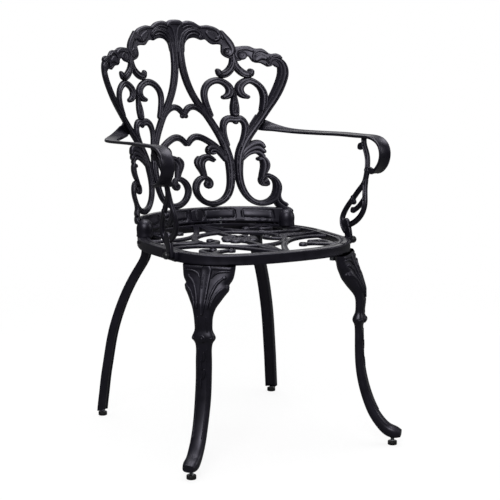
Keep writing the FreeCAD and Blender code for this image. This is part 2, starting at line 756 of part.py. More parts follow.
def arm_edge(x, y, up):
    """Point of the arm's top surface, up mm above the rim before the arm is stretched.

    Behind ARM_REAR the arm moves with the back, and in front of it with the seat's depth.
    """
    depth = y * Y_STRETCH
    if y > ARM_REAR:
        depth = y + BACK_SETBACK * (Y_STRETCH - 1)
    return Vector(x * X_STRETCH + ARM_SHIFT, depth, SEAT_HEIGHT + up * ARM_STRETCH)


def arm_sections():
    """Flat sections of the strip, from the rear tab to the end of the front curl."""
    place, wide, along, normal = tab_frame()
    frames = [(place + along * (TAB_LENGTH / 2 - 1), wide, normal * -1)]
    # outer and inner edge of the strip's top surface
    edges = [
        ((187, 191, 218.5), (175, 178, 204)),
        ((206, 176, 212), (190, 160, 202)),
        ((225, 159, 206.5), (206, 140, 200.5)),
        ((243, 130, 204), (218.5, 117, 200.5)),
        ((252.5, 96, 204.5), (226, 90, 201.5)),
        ((255.5, 55, 206), (228.5, 54, 203)),
        ((255.5, -20, 209), (228.5, -20, 206.5)),
        ((255.5, -95, 210.5), (228.5, -95, 208.5)),
        ((255.5, -132, 210.5), (228.5, -132, 209)),
        ((255.5, -156, 205.5), (228.5, -156, 204)),
        ((255.5, -173, 193), (228.5, -173, 192)),
        ((255.5, -179, 177), (228.5, -179, 176)),
        ((255.5, -175, 159), (228.5, -175, 159)),
        ((255.5, -163, 144), (228.5, -163, 144)),
        ((255.5, -146, 134), (228.5, -146, 134)),
        ((255.5, -134, 131), (228.5, -134, 131)),
    ]
    middles = []
    spans = []
    for outer, inner in edges:
        a = arm_edge(*outer)
        b = arm_edge(*inner)
        middle = (a + b) * 0.5
        # the tab takes the place of a section that it reaches
        if (middle - place).dot(along) > TAB_LENGTH / 2 + ARM_THICKNESS or middles:
            middles.append(middle)
            spans.append((a - b).normalize())
    for index, middle in enumerate(middles):
        before = middles[max(index - 1, 0)]
        after = middles[min(index + 1, len(middles) - 1)]
        along = (after - before).normalize()
        facing = along.cross(spans[index]).normalize()
        frames.append((middle, spans[index], facing))
    wires = []
    for centre, wide, facing in frames:
        corners = [
            centre + wide * (a * ARM_WIDTH / 2) - facing * (b * ARM_THICKNESS)
            for a, b in ((1, 0), (-1, 0), (-1, 1), (1, 1))
        ]
        wires.append(Part.makePolygon(corners + [corners[0]]))
    return wires


def support_strokes():
    """Scroll under the arm's front: y and height above the rim in its own plane, with widths."""
    return [
        ([(-103, 203), (-108, 191), (-118, 179), (-128, 165), (-133.5, 148), (-135, 130),
          (-132, 115), (-120, 101), (-104, 83), (-88, 65), (-77, 49), (-73, 35),
          (-79, 22), (-92, 13)],
         [13, 12, 12, 12, 12, 13, 12, 11, 11, 11, 12, 13, 14, 16]),
        ([(-136, 121), (-138, 105), (-143, 87), (-147, 70), (-143, 54), (-132, 41),
          (-117, 31), (-101, 23), (-92, 15)],
         [11, 11, 12, 12, 12, 12, 12, 12, 14]),
        ([(-143, 85), (-132, 71), (-120, 61), (-111, 56)], [10, 10, 10, 11]),
        ([(-99, 81), (-107, 72)], [10, 9]),
        ([(-133, 141), (-143, 142), (-153, 140)], [13, 13, 12]),
        ([(-105, 191), (-97, 187)], [12, 15]),
    ]


def build_arm():
    strip = Part.makeLoft(arm_sections(), True, False)

    lug = lug_place()
    lean = math.radians(SUPPORT_LEAN)
    hinge_height = SEAT_HEIGHT + HINGE_HEIGHT
    thickness = SUPPORT_THICKNESS
    faces = []
    for points, widths in support_strokes():
        flat = []
        for y, up in points:
            rise = up * ARM_STRETCH - HINGE_HEIGHT
            flat.append(Vector(lug.x, y * Y_STRETCH, hinge_height + rise / math.cos(lean)))
        if len(flat) == 2:
            flat.insert(1, (flat[0] + flat[1]) * 0.5)
            widths = [widths[0], sum(widths) / 2, widths[1]]
        faces.append(stroke_face(flat, widths, MIRROR_NORMAL))
    scroll = united(faces).extrude(Vector(thickness, 0, 0))
    hinge = Vector(lug.x, 0, hinge_height)
    scroll.rotate(hinge, Vector(0, 1, 0), SUPPORT_LEAN)

    lug_faces = [
        Vector(lug.x, lug.y, lug.z),
        Vector(lug.x, lug.y + 4, lug.z + 14),
        Vector(lug.x, lug.y + 12, hinge_height + 4),
    ]
    plate = stroke_face(lug_faces, [LUG_WIDTH - 4, LUG_WIDTH, LUG_WIDTH], MIRROR_NORMAL)
    plate = plate.extrude(Vector(thickness, 0, 0))
    # the tab lies on the rear face of the stile
    behind = Part.makeBox(BACK_HEIGHT, BACK_HEIGHT, BACK_HEIGHT * 2, Vector(0, STILE_FRONT, 0))
    stile_wall = curved_wall(-RAIL_THICKNESS, BACK_THICKNESS + TAB_GAP).common(behind)
    casting = united([strip, build_tab(), scroll, plate]).cut(stile_wall)

    hole_radius = BOLT_DIAMETER / 2 + BOLT_CLEARANCE
    lug_hole = Part.makeCylinder(hole_radius, 60, lug - Vector(30, 0, 0), MIRROR_NORMAL)
    place, normal = tab_place()
    screw_radius = SCREW_DIAMETER / 2 + BOLT_CLEARANCE
    tab_hole = Part.makeCylinder(screw_radius, 40, place - normal * 20, normal)
    spot_face = Part.makeCylinder(
        SCREW_WASHER_DIAMETER / 2 + 1, 20, place + normal * ARM_THICKNESS, normal)
    return casting.cut([lug_hole, tab_hole, spot_face])


# Fasteners

def washer(place, axis, diameter, bore):
    """Flat ring from place along axis; bore is its hole's radius."""
    ring = Part.makeCylinder(diameter / 2, WASHER_THICKNESS, place, axis)
    start = place - axis * WASHER_THICKNESS
    return ring.cut(Part.makeCylinder(bore, WASHER_THICKNESS * 3, start, axis))


def hexagon(place, flats, height):
    """Upright hexagonal prism, its lower face centred at place."""
    radius = flats / math.sqrt(3)
    corners = [
        place + Vector(math.cos(math.radians(a)), math.sin(math.radians(a)), 0) * radius
        for a in range(0, 420, 60)
    ]
    return Part.Face(Part.makePolygon(corners)).extrude(UP * height)


def leg_bolt(place):
    """Hexagon bolt up through the washer and the leg's flange into the seat's boss."""
    bearing = APRON_BOTTOM - FLANGE_THICKNESS - WASHER_THICKNESS
    grip = WASHER_THICKNESS + FLANGE_THICKNESS + BOLT_THREAD
    shank = Part.makeCylinder(BOLT_DIAMETER / 2, grip, Vector(place.x, place.y, bearing))
    head = hexagon(Vector(place.x, place.y, bearing - HEX_HEAD_HEIGHT), HEX_FLATS, HEX_HEAD_HEIGHT)
    return united([shank, head])


def leg_washer(place):
    bottom = APRON_BOTTOM - FLANGE_THICKNESS - WASHER_THICKNESS
    bore = BOLT_DIAMETER / 2 + BOLT_CLEARANCE
    return washer(Vector(place.x, place.y, bottom), UP, WASHER_DIAMETER, bore)


def dome(place, axis, diameter, height):
    """Domed or ball-shaped bolt head, flat side at place."""
    radius = diameter / 2
    ball_radius = (radius ** 2 + height ** 2) / (2 * height)
    ball = Part.makeSphere(ball_radius, place + axis * (height - ball_radius))
    return ball.common(Part.makeCylinder(ball_radius + 1, height + 1, place, axis))


def arm_seat_bolt():
    lug = lug_place()
    outside = lug + Vector(SUPPORT_THICKNESS, 0, 0)
    inside = SUPPORT_THICKNESS + LUG_THREAD
    shank = Part.makeCylinder(BOLT_DIAMETER / 2, inside, outside - Vector(inside, 0, 0), MIRROR_NORMAL)
    return united([shank, dome(outside, MIRROR_NORMAL, LUG_HEAD_DIAMETER, LUG_HEAD_HEIGHT)])


def screw(place, axis, grip):
    """Dome-headed screw whose head bears at place and whose point lies grip mm along -axis."""
    shank = Part.makeCylinder(SCREW_DIAMETER / 2, grip, place - axis * grip, axis)
    return united([shank, dome(place, axis, SCREW_HEAD_DIAMETER, SCREW_HEAD_HEIGHT)])


def arm_back_screw():
    place, normal = tab_place()
    bearing = place + normal * (ARM_THICKNESS + WASHER_THICKNESS)
    return screw(bearing, normal, ARM_THICKNESS + WASHER_THICKNESS + SCREW_GRIP - 0.5)


def arm_back_washer():
    place, normal = tab_place()
    bore = SCREW_DIAMETER / 2 + BOLT_CLEARANCE
    return washer(place + normal * ARM_THICKNESS, normal, SCREW_WASHER_DIAMETER, bore)


def back_seat_bolt(place):
    bearing = Vector(place.x, place.y, RIM_UNDERSIDE - WASHER_THICKNESS)
    down = Vector(0, 0, -1)
    grip = WASHER_THICKNESS + RIM_THICKNESS + SCREW_GRIP + SCREW_DIAMETER - 1
    return screw(bearing, down, grip)


def back_seat_washer(place):
    bottom = Vector(place.x, place.y, RIM_UNDERSIDE - WASHER_THICKNESS)
    bore = SCREW_DIAMETER / 2 + BOLT_CLEARANCE
    return washer(bottom, UP, SCREW_WASHER_DIAMETER, bore)


# Levelling feet

def foot_stud(place):
    """Threaded stud from inside the glide up into the leg."""
    bottom = PAD_HEIGHT - STUD_IN_PAD
    length = STUD_IN_PAD + FOOT_GAP + STUD_ENGAGEMENT
    rod = Part.makeCylinder(STUD_DIAMETER / 2, length, Vector(place.x, place.y, bottom))
    return rod.makeChamfer(0.8, [rod.Edges[0], rod.Edges[2]])


def foot_pad(place):
    """Round glide with eased edges and a blind socket for the stud."""
    body = Part.makeCylinder(PAD_DIAMETER / 2, PAD_HEIGHT)
    body = body.makeChamfer(PAD_EDGE, [body.Edges[0], body.Edges[2]])
    socket_radius = STUD_DIAMETER / 2 + RUNNING_CLEARANCE
    socket = Part.makeCylinder(socket_radius, PAD_HEIGHT, Vector(0, 0, PAD_HEIGHT - STUD_IN_PAD))
    pad = body.cut(socket)
    pad.translate(Vector(place.x, place.y, 0))
    return pad


# Assembly

def build_nodes():
    """All nodes by name. left and right are the sitter's."""
    nodes = {"back_frame": build_back(), "seat_frame": build_seat()}
    arm = build_arm()
    front_leg = build_front_leg()
    rear_leg = build_rear_leg()
    front_foot = front_foot_place()
    rear_foot = rear_foot_place()
    castings = {
        "arm": arm,
        "front_leg": front_leg,
        "rear_leg": rear_leg,
        "front_stud": foot_stud(front_foot),
        "rear_stud": foot_stud(rear_foot),
        "front_glide": foot_pad(front_foot),
        "rear_glide": foot_pad(rear_foot),
    }
    for name, shape in castings.items():
        nodes[name + "_left"] = shape
        nodes[name + "_right"] = mirrored(shape)

    front = both_places(front_bolt_places())
    rear = both_places(rear_bolt_places())
    rail = rail_bolt_places()
    groups = {
        "front_leg_bolts": [leg_bolt(place) for place in front],
        "front_leg_washers": [leg_washer(place) for place in front],
        "rear_leg_bolts": [leg_bolt(place) for place in rear],
        "rear_leg_washers": [leg_washer(place) for place in rear],
        "arm_seat_bolts": both_sides([arm_seat_bolt()]),
        "arm_back_screws": both_sides([arm_back_screw()]),
        "arm_back_washers": both_sides([arm_back_washer()]),
        "back_seat_bolts": [back_seat_bolt(place) for place in rail],
        "back_seat_washers": [back_seat_washer(place) for place in rail],
    }
    for name, shapes in groups.items():
        nodes[name] = Part.makeCompound(shapes)
    return nodes


def main():
    os.makedirs("parts", exist_ok=True)
    nodes = build_nodes()
    # the origin lies on the floor, under the middle of the whole chair's box
    boxes = [shape.optimalBoundingBox(False, False) for shape in nodes.values()]
    middle = (min(box.YMin for box in boxes) + max(box.YMax for box in boxes)) / 2
    for name, shape in nodes.items():
        shape.translate(Vector(0, -middle, 0))
        shape.exportStep("parts/" + name + ".step")
        print("%-18s %2d solids, %9.0f mm3" % (name, len(shape.Solids), shape.Volume))
    print("origin moved back by %.3f" % middle)


main()
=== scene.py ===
"""Look of a garden armchair in coated cast metal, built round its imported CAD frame.

The chair's tables are in millimetres of its drawing: x across, y to the rear, z up from the
floor. The drawing's origin lies ORIGIN_SHIFT behind the frame's. Blender works in metres.
"""

import json
import logging
import math
from dataclasses import dataclass, field
from enum import Enum
from typing import Callable, Sequence

import bmesh
import bpy
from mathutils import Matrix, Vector

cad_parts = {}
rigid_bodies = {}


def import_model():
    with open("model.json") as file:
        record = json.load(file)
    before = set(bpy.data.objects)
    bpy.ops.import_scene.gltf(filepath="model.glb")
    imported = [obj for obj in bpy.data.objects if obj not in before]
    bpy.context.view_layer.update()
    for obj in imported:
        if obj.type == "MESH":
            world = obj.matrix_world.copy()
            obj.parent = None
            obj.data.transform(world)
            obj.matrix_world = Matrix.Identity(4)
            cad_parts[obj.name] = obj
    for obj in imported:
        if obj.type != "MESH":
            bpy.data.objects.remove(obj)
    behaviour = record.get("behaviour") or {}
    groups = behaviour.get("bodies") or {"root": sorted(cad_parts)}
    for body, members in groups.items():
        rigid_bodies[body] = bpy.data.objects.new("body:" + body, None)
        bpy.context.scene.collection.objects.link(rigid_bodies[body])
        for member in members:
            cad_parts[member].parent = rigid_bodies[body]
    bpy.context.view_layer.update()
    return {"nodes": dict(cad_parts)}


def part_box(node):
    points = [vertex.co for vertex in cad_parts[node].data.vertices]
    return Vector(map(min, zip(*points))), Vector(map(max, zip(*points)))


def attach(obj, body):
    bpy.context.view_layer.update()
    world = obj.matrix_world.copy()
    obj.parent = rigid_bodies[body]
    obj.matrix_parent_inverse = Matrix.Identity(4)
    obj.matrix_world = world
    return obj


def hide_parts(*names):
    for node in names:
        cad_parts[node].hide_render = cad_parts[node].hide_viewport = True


MM = 0.001
ORIGIN_SHIFT = -26.969
LOG = logging.getLogger("garden_armchair")

Flat = tuple[float, float]
Ring = list[Vector]
Place = Callable[[float, float, float], Vector]
Stroke = tuple[tuple[Flat, ...], tuple[float, ...], "Relief"]


def from_drawing(x: float, y: float, z: float) -> Vector:
    """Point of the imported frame, in metres, for a point of the drawing, in millimetres."""
    return Vector((x * MM, (y + ORIGIN_SHIFT) * MM, z * MM))


class Body(Enum):
    """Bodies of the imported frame."""

    CHAIR = "chair"
    FRONT_LEFT_FOOT = "front left foot"
    FRONT_RIGHT_FOOT = "front right foot"
    REAR_LEFT_FOOT = "rear left foot"
    REAR_RIGHT_FOOT = "rear right foot"


class Side(Enum):
    """Sitter's side of a piece that is cast left and right."""

    LEFT = "left"
    RIGHT = "right"


def chords(points: Sequence[Sequence[float]]) -> list[float]:
    """Adds up the distances from point to point.

    Args:
        points: the points in order.

    Returns:
        The distance of each point from the first, along the straight lines between them.
    """
    keys = [0.0]
    for a, b in zip(points, points[1:]):
        keys.append(keys[-1] + math.dist(a, b))
    return keys


def unit(a: float, b: float) -> Flat:
    """Flat direction scaled to a length of 1."""
    length = math.hypot(a, b)
    return a / length, b / length


def mirrored(points: Sequence[Flat]) -> list[Flat]:
    """Mirror image of a run of points, from its end to its start."""
    return [(-a, b) for a, b in reversed(points)]


def read_steps(steps: Sequence[Flat], at: float) -> float:
    """Reads a line of straight stretches.

    Args:
        steps: (place, value) pairs, the places rising.
        at: the place to read.

    Returns:
        The value there, or that of the nearer end.
    """
    for (x0, y0), (x1, y1) in zip(steps, steps[1:]):
        if at <= x1:
            return y0 + (y1 - y0) * max(0.0, (at - x0) / (x1 - x0))
    return steps[-1][1]


class SmoothPath:
    """Natural cubic curve through points of any dimension."""

    def __init__(self, points: Sequence[Sequence[float]],
                 keys: Sequence[float] | None = None) -> None:
        """Fits the curve.

        Args:
            points: the points that the curve passes through.
            keys: rising parameter of each point; chord lengths if left out.
        """
        self.points = [tuple(point) for point in points]
        self.keys = chords(self.points) if keys is None else list(keys)
        self.bends = self._second_derivatives()

    def _second_derivatives(self) -> list[tuple[float, ...]]:
        """Solves for the bend at each point.

        Returns:
            The second derivative at each point, zero at both ends.
        """
        last = len(self.points) - 1
        size = len(self.points[0])
        bends = [tuple([0.0] * size)] * (last + 1)
        if last < 2:
            return bends
        weights = [0.0] * (last + 1)
        sums = [[0.0] * size for _ in range(last + 1)]
        for i in range(1, last):
            before = self.keys[i] - self.keys[i - 1]
            after = self.keys[i + 1] - self.keys[i]
            pivot = 2 * (before + after) - before * weights[i - 1]
            weights[i] = after / pivot
            for k in range(size):
                rise = (self.points[i + 1][k] - self.points[i][k]) / after
                rise -= (self.points[i][k] - self.points[i - 1][k]) / before
                sums[i][k] = (6 * rise - before * sums[i - 1][k]) / pivot
        for i in range(last - 1, 0, -1):
            bends[i] = tuple(sums[i][k] - weights[i] * bends[i + 1][k] for k in range(size))
        return bends

    def _span(self, key: float) -> int:
        """Finds the span of the curve that holds a key.

        Args:
            key: parameter along the curve.

        Returns:
            The index of the point at the start of the span.
        """
        for i in range(1, len(self.keys) - 1):
            if key < self.keys[i]:
                return i - 1
        return len(self.keys) - 2

    def at(self, key: float) -> tuple[float, ...]:
        """Finds a point of the curve.

        Args:
            key: parameter along the curve.

        Returns:
            The point's coordinates.
        """
        i = self._span(key)
        width = self.keys[i + 1] - self.keys[i]
        b = (key - self.keys[i]) / width
        a = 1 - b
        return tuple(
            a * p + b * q + ((a ** 3 - a) * m + (b ** 3 - b) * n) * width ** 2 / 6
            for p, q, m, n in zip(
                self.points[i], self.points[i + 1], self.bends[i], self.bends[i + 1]
            )
        )

    def slope(self, key: float) -> tuple[float, ...]:
        """Finds the direction of the curve.

        Args:
            key: parameter along the curve.

        Returns:
            The derivative of each coordinate.
        """
        i = self._span(key)
        width = self.keys[i + 1] - self.keys[i]
        b = (key - self.keys[i]) / width
        a = 1 - b
        return tuple(
            (q - p) / width + ((3 * b * b - 1) * n - (3 * a * a - 1) * m) * width / 6
            for p, q, m, n in zip(
                self.points[i], self.points[i + 1], self.bends[i], self.bends[i + 1]
            )
        )

    def stations(self, step: float) -> list[float]:
        """Spreads keys evenly over the whole curve.

        Args:
            step: distance between keys.

        Returns:
            The keys, from the start to the end.
        """
        start, end = self.keys[0], self.keys[-1]
        count = max(2, math.ceil((end - start) / step))
        return [start + (end - start) * i / count for i in range(count + 1)]


# Sections of cast bands

# degrees at which a band's round end is cut into sections
CAP_ANGLES = (84.0, 66.0, 48.0, 30.0, 14.0)
# width of a band's flat rear face, as a share of the band's
REAR_SHARE = 0.93


@dataclass(frozen=True)
class Relief:
    """Section across a cast band.

    Args:
        crest: (share of the half width, mm below the highest line) from left edge to right.
        thickness: mm from the highest line to the rear face.
        two_faced: whether the rear face repeats the front.
    """

    crest: tuple[Flat, ...]
    thickness: float
    two_faced: bool = False

    def outline(self, narrow: float = 1.0) -> list[Flat]:
        """Draws the closed section.

        Args:
            narrow: 1 along the band, and less than 1 nearer the tip of its round end.

        Returns:
            (share of the half width, height in mm) pairs.
        """
        beyond = math.sqrt(max(0.0, 1 - narrow ** 2))
        front = []
        for share, _ in self.crest:
            across = share * narrow
            radius = min(1.0, math.hypot(across, beyond))
            front.append((across, -read_steps(self.crest, math.copysign(radius, share))))
        if self.two_faced:
            rear = [(across, -self.thickness - height) for across, height in reversed(front)]
        else:
            rear = [(share * narrow, -self.thickness) for share in (REAR_SHARE, -REAR_SHARE)]
        return front + rear


def symmetric(half: Sequence[Flat]) -> tuple[Flat, ...]:
    """Crest line with its left half mirrored to the right."""
    return tuple(half) + tuple(mirrored([point for point in half if point[0] < 0]))


# plain round band: leaves, small curls
ROUND = Relief(
    symmetric([(-1, 6.5), (-0.96, 4.6), (-0.87, 2.7), (-0.74, 1.35), (-0.55, 0.5), (-0.28, 0.1),
               (0, 0)]), 11.0)
# stems and arches: a broad ridge between two grooves
RIDGED = Relief(
    symmetric([(-1, 7.0), (-0.95, 4.8), (-0.86, 2.6), (-0.76, 1.1), (-0.66, 0.5), (-0.56, 0.6),
               (-0.46, 1.9), (-0.38, 1.9), (-0.28, 0.25), (-0.12, 0.0), (0, 0.0)]), 11.0)
# hearts: one groove beside the middle, the inner side lower
HEART = Relief(
    ((-1, 7.0), (-0.95, 4.6), (-0.84, 2.4), (-0.68, 0.9), (-0.48, 0.2), (-0.25, 0.0),
     (-0.05, 0.4), (0.06, 1.8), (0.16, 2.0), (0.28, 0.8), (0.42, 0.5), (0.58, 1.0), (0.72, 2.2),
     (0.86, 4.0), (0.95, 5.4), (1, 7.0)), 11.0)
# drop under the hearts: a hollow along the middle
LEAF = Relief(
    symmetric([(-1, 7.0), (-0.94, 4.2), (-0.82, 1.9), (-0.64, 0.5), (-0.48, 0.3), (-0.34, 1.6),
               (-0.2, 2.4), (-0.08, 1.2), (0, 0.8)]), 11.0)
# arm scrolls: the same grooves on both faces
ROPE = Relief(
    symmetric([(-1, 3.4), (-0.94, 1.8), (-0.8, 0.5), (-0.62, 0.0), (-0.45, 0.3), (-0.3, 1.7),
               (-0.14, 2.3), (0, 2.3)]), 8.0, True)
# flat forms: the arm's lug, and plates under cast leaves
LUG = Relief(symmetric([(-1, 2.0), (-0.95, 0.9), (-0.85, 0.2), (-0.7, 0), (0, 0)]), 8.0, True)
PLATE = Relief(symmetric([(-1, 2.2), (-0.97, 1.0), (-0.9, 0.3), (-0.8, 0.0), (0, 0.0)]), 8.5)
# the seat's openwork: plain, grooved, and leaves with a vein
LATTICE = Relief(
    symmetric([(-1, 2.4), (-0.94, 1.3), (-0.8, 0.5), (-0.55, 0.1), (0, 0.0)]), 6.5)
GROOVED_LATTICE = Relief(
    symmetric([(-1, 2.6), (-0.94, 1.3), (-0.8, 0.3), (-0.58, 0.0), (-0.4, 0.9), (-0.2, 1.4),
               (0, 1.4)]), 6.5)
LATTICE_LEAF = Relief(
    symmetric([(-1, 2.6), (-0.95, 1.3), (-0.82, 0.3), (-0.6, 0.0), (-0.35, 0.9), (-0.14, 1.6),
               (-0.06, 0.6), (0, 0.4)]), 6.5)
# ornament cast on a face: a narrow rib, and the leaf down the knee
RIB = Relief(symmetric([(-1, 2.6), (-0.8, 1.4), (-0.5, 0.4), (0, 0.0)]), 4.5)
TONGUE = Relief(
    symmetric([(-1, 4.4), (-0.92, 1.8), (-0.8, 0.4), (-0.62, 0.0), (-0.4, 0.5), (0, 0.9)]), 8.0)


@dataclass(frozen=True)
class Band:
    """Cast band along a smooth centre line, with round ends.

    Args:
        line: points of the centre line in the coordinates of its surface.
        widths: full width at each point.
        relief: section across the band.
        lift: height of the band's highest line over the surface.
        step: distance between sections.
    """

    line: tuple[Flat, ...]
    widths: tuple[float, ...]
    relief: Relief
    lift: float = 0.0
    step: float = 3.0

    def rings(self, place: Place) -> list[Ring]:
        """Lays the section along the shape.

        Args:
            place: puts a point and its height on the surface that carries the shape.

        Returns:
            The section's points at each station, from end to end.
        """
        path = SmoothPath(self.line)
        width = SmoothPath([(w,) for w in self.widths], path.keys)
        keys = path.stations(self.step)
        caps = [(math.sin(math.radians(a)), math.cos(math.radians(a))) for a in CAP_ANGLES]
        stops = [(keys[0], -beyond, narrow) for beyond, narrow in caps]
        stops += [(key, 0.0, 1.0) for key in keys]
        stops += [(keys[-1], beyond, narrow) for beyond, narrow in reversed(caps)]
        rings = []
        for key, beyond, narrow in stops:
            half = width.at(key)[0] / 2
            a, b = path.at(key)
            da, db = unit(*path.slope(key))
            a, b = a + da * beyond * half, b + db * beyond * half
            rings.append([
                place(a - db * share * half, b + da * share * half, self.lift + height)
                for share, height in self.relief.outline(narrow)
            ])
        return rings


@dataclass(frozen=True)
class Ribbon:
    """Cast plate between two smooth edges.

    Args:
        pairs: facing points of the left and right edge, in order along the plate.
        relief: section across the plate.
        lift: height of the plate's highest line over the surface.
        step: distance between sections.
    """

    pairs: tuple[tuple[Flat, Flat], ...]
    relief: Relief
    lift: float = 0.0
    step: float = 3.0

    def rings(self, place: Place) -> list[Ring]:
        """Lays the section along the shape.

        Args:
            place: puts a point and its height on the surface that carries the shape.

        Returns:
            The section's points at each station, from end to end.
        """
        path = SmoothPath([left + right for left, right in self.pairs])
        rings = []
        for key in path.stations(self.step):
            a0, b0, a1, b1 = path.at(key)
            middle_a, middle_b = (a0 + a1) / 2, (b0 + b1) / 2
            half_a, half_b = (a0 - a1) / 2, (b0 - b1) / 2
            rings.append([
                place(middle_a - half_a * share, middle_b - half_b * share, self.lift + height)
                for share, height in self.relief.outline()
            ])
        return rings


KNOB_SIDES = 20
KNOB_FOOT = ((0.93, 1.0),)
BUTTON = ((0.93, 0.94), (1.0, 0.7), (0.97, 0.45), (0.88, 0.26), (0.74, 0.13), (0.55, 0.05),
          (0.3, 0.01), (0.06, 0.0))
SCROLL_EYE = ((0.95, 0.94), (1.0, 0.65), (0.96, 0.38), (0.86, 0.18), (0.72, 0.1), (0.6, 0.14),
              (0.5, 0.24), (0.4, 0.21), (0.28, 0.08), (0.15, 0.02), (0.04, 0.0))


@dataclass(frozen=True)
class Knob:
    """Round cast boss that stands on a surface.

    Args:
        centre: its centre in the coordinates of the surface.
        radius: largest radius.
        thickness: height from its foot to its top.
        lift: height of its top over the surface.
        shape: (share of the radius, share of the thickness below the top), foot to top.
    """

    centre: Flat
    radius: float
    thickness: float = 11.0
    lift: float = 0.0
    shape: tuple[Flat, ...] = BUTTON

    def rings(self, place: Place) -> list[Ring]:
        """Draws the boss's circles.

        Args:
            place: puts a point and its height on the surface that carries the boss.

        Returns:
            The circles' points, from the foot to the top.
        """
        a, b = self.centre
        angles = [math.tau * i / KNOB_SIDES for i in range(KNOB_SIDES)]
        return [
            [
                place(a + math.cos(angle) * self.radius * share,
                      b + math.sin(angle) * self.radius * share,
                      self.lift - below * self.thickness)
                for angle in angles
            ]
            for share, below in KNOB_FOOT + self.shape
        ]


# Finishes

def srgb(code: str) -> tuple[float, float, float, float]:
    """Turns an sRGB colour to linear.

    Args:
        code: hex code such as 1d1c20.

    Returns:
        Linear red, green, blue and an alpha of 1.
    """
    parts = []
    for i in (0, 2, 4):
        value = int(code[i:i + 2], 16) / 255
        parts.append(value / 12.92 if value <= 0.04045 else ((value + 0.055) / 1.055) ** 2.4)
    return parts[0], parts[1], parts[2], 1.0


def add_node(tree: bpy.types.NodeTree, kind: str,
             inputs: dict[str | int, object] | None = None,
             **settings: object) -> bpy.types.Node:
    """Adds a node with its settings, values and links.

    Args:
        tree: node tree that gets the node.
        kind: the node's type name.
        inputs: values, or output sockets to link, by the input's name or number.
        settings: the node's own settings, such as its operation.

    Returns:
        The new node.
    """
    node = tree.nodes.new(kind)
    for name, value in settings.items():
        setattr(node, name, value)
    for name, value in (inputs or {}).items():
        socket = node.inputs[name]
        if isinstance(value, bpy.types.NodeSocket):
            tree.links.new(value, socket)
        else:
            socket.default_value = value
    return node


@dataclass(frozen=True)
class Finish:
    """A surface as it was made, with its grain's real sizes.

    Args:
        name: the material's name.
        base: hex colour of most of the surface.
        accent: hex colour of its lighter or worn patches.
        roughness: usual roughness.
        spread: how far the roughness varies.
        metallic: 1 for bare metal.
        patch: size of the colour patches in mm.
        grain: size of the surface grain in mm.
        relief: depth of the grain in mm.
        coat: weight of a clear top layer.
        sheen_tint: hex colour of the highlights.
        coat_roughness: roughness of the clear top layer.
    """

    name: str
    base: str
    accent: str
    roughness: float
    spread: float
    metallic: float
    patch: float
    grain: float
    relief: float
    coat: float = 0.0
    sheen_tint: str = "ffffff"
    coat_roughness: float = 0.35

    def material(self) -> bpy.types.Material:
        """Makes the finish as a procedural material, once.

        Returns:
            The material.
        """
        known = bpy.data.materials.get(self.name)
        if known:
            return known
        made = bpy.data.materials.new(self.name)
        made.use_nodes = True
        tree = made.node_tree
        tree.nodes.clear()
        where = add_node(tree, "ShaderNodeTexCoord").outputs["Object"]
        patches = add_node(tree, "ShaderNodeTexNoise", {
            "Vector": where, "Scale": 1 / (self.patch * MM), "Detail": 4.0, "Roughness": 0.6,
        }).outputs["Fac"]
        grain = add_node(tree, "ShaderNodeTexNoise", {
            "Vector": where, "Scale": 1 / (self.grain * MM), "Detail": 2.0, "Roughness": 0.5,
        }).outputs["Fac"]
        # the noise seldom leaves the middle two fifths of its range
        factor = add_node(tree, "ShaderNodeMapRange", {
            "Value": patches, "From Min": 0.35, "From Max": 0.7, "To Min": 0.0, "To Max": 1.0,
        })
        colour = add_node(tree, "ShaderNodeMix", {
            "Factor": factor.outputs["Result"], "A": srgb(self.base), "B": srgb(self.accent),
        }, data_type="RGBA")
        roughness = add_node(tree, "ShaderNodeMapRange", {
            "Value": patches, "From Min": 0.3, "From Max": 0.7,
            "To Min": self.roughness - self.spread, "To Max": self.roughness + self.spread,
        })
        bump = add_node(tree, "ShaderNodeBump", {
            "Height": grain, "Strength": 1.0, "Distance": self.relief * MM,
        })
        shader = add_node(tree, "ShaderNodeBsdfPrincipled", {
            "Base Color": colour.outputs["Result"], "Roughness": roughness.outputs["Result"],
            "Metallic": self.metallic, "Normal": bump.outputs["Normal"],
            "Coat Weight": self.coat, "Coat Roughness": self.coat_roughness,
            "Specular Tint": srgb(self.sheen_tint),
        })
        add_node(tree, "ShaderNodeOutputMaterial", {"Surface": shader.outputs["BSDF"]})
        return made


# Satin black polyester powder, stoved over the sand-cast surface; the orange peel is about 1 mm,
# and the pigment leaves a faint violet in the highlights.
POWDER_COAT = Finish("satin_black_powder_coat", "08070f", "12101a", 0.41, 0.07, 0.0,
                     26.0, 1.1, 0.035, 0.04, "efebff")
# Bright zinc, plated on cold-headed steel bolts and washers: pale, with soft even reflections.
BRIGHT_ZINC = Finish("bright_zinc_plate", "b9bcc0", "9fa3a8", 0.3, 0.07, 1.0, 5.0, 0.5, 0.01)
# Black oxide on the dome-headed bolts, oiled: nearly black, with a small clear highlight.
BLACK_OXIDE = Finish("black_oxide_steel", "17171a", "232327", 0.38, 0.05, 0.0, 6.0, 0.6, 0.012)
# Polyethylene glides, injection moulded, whose fine texture leaves them matt.
MOULDED_PLASTIC = Finish("moulded_black_plastic", "101011", "1a1a1b", 0.55, 0.05, 0.0,
                         9.0, 0.4, 0.015)
# Studio paper under the chair, smooth and white.
STUDIO_PAPER = Finish("white_studio_paper", "f4f4f4", "f1f1f1", 0.9, 0.02, 0.0, 300.0, 4.0, 0.01)


# Pieces

def add_object(name: str, data: bpy.types.ID) -> bpy.types.Object:
    """Puts an object in the scene.

    Args:
        name: the object's name.
        data: its mesh, lamp or camera.

    Returns:
        The object.
    """
    made = bpy.data.objects.new(name, data)
    bpy.context.scene.collection.objects.link(made)
    return made


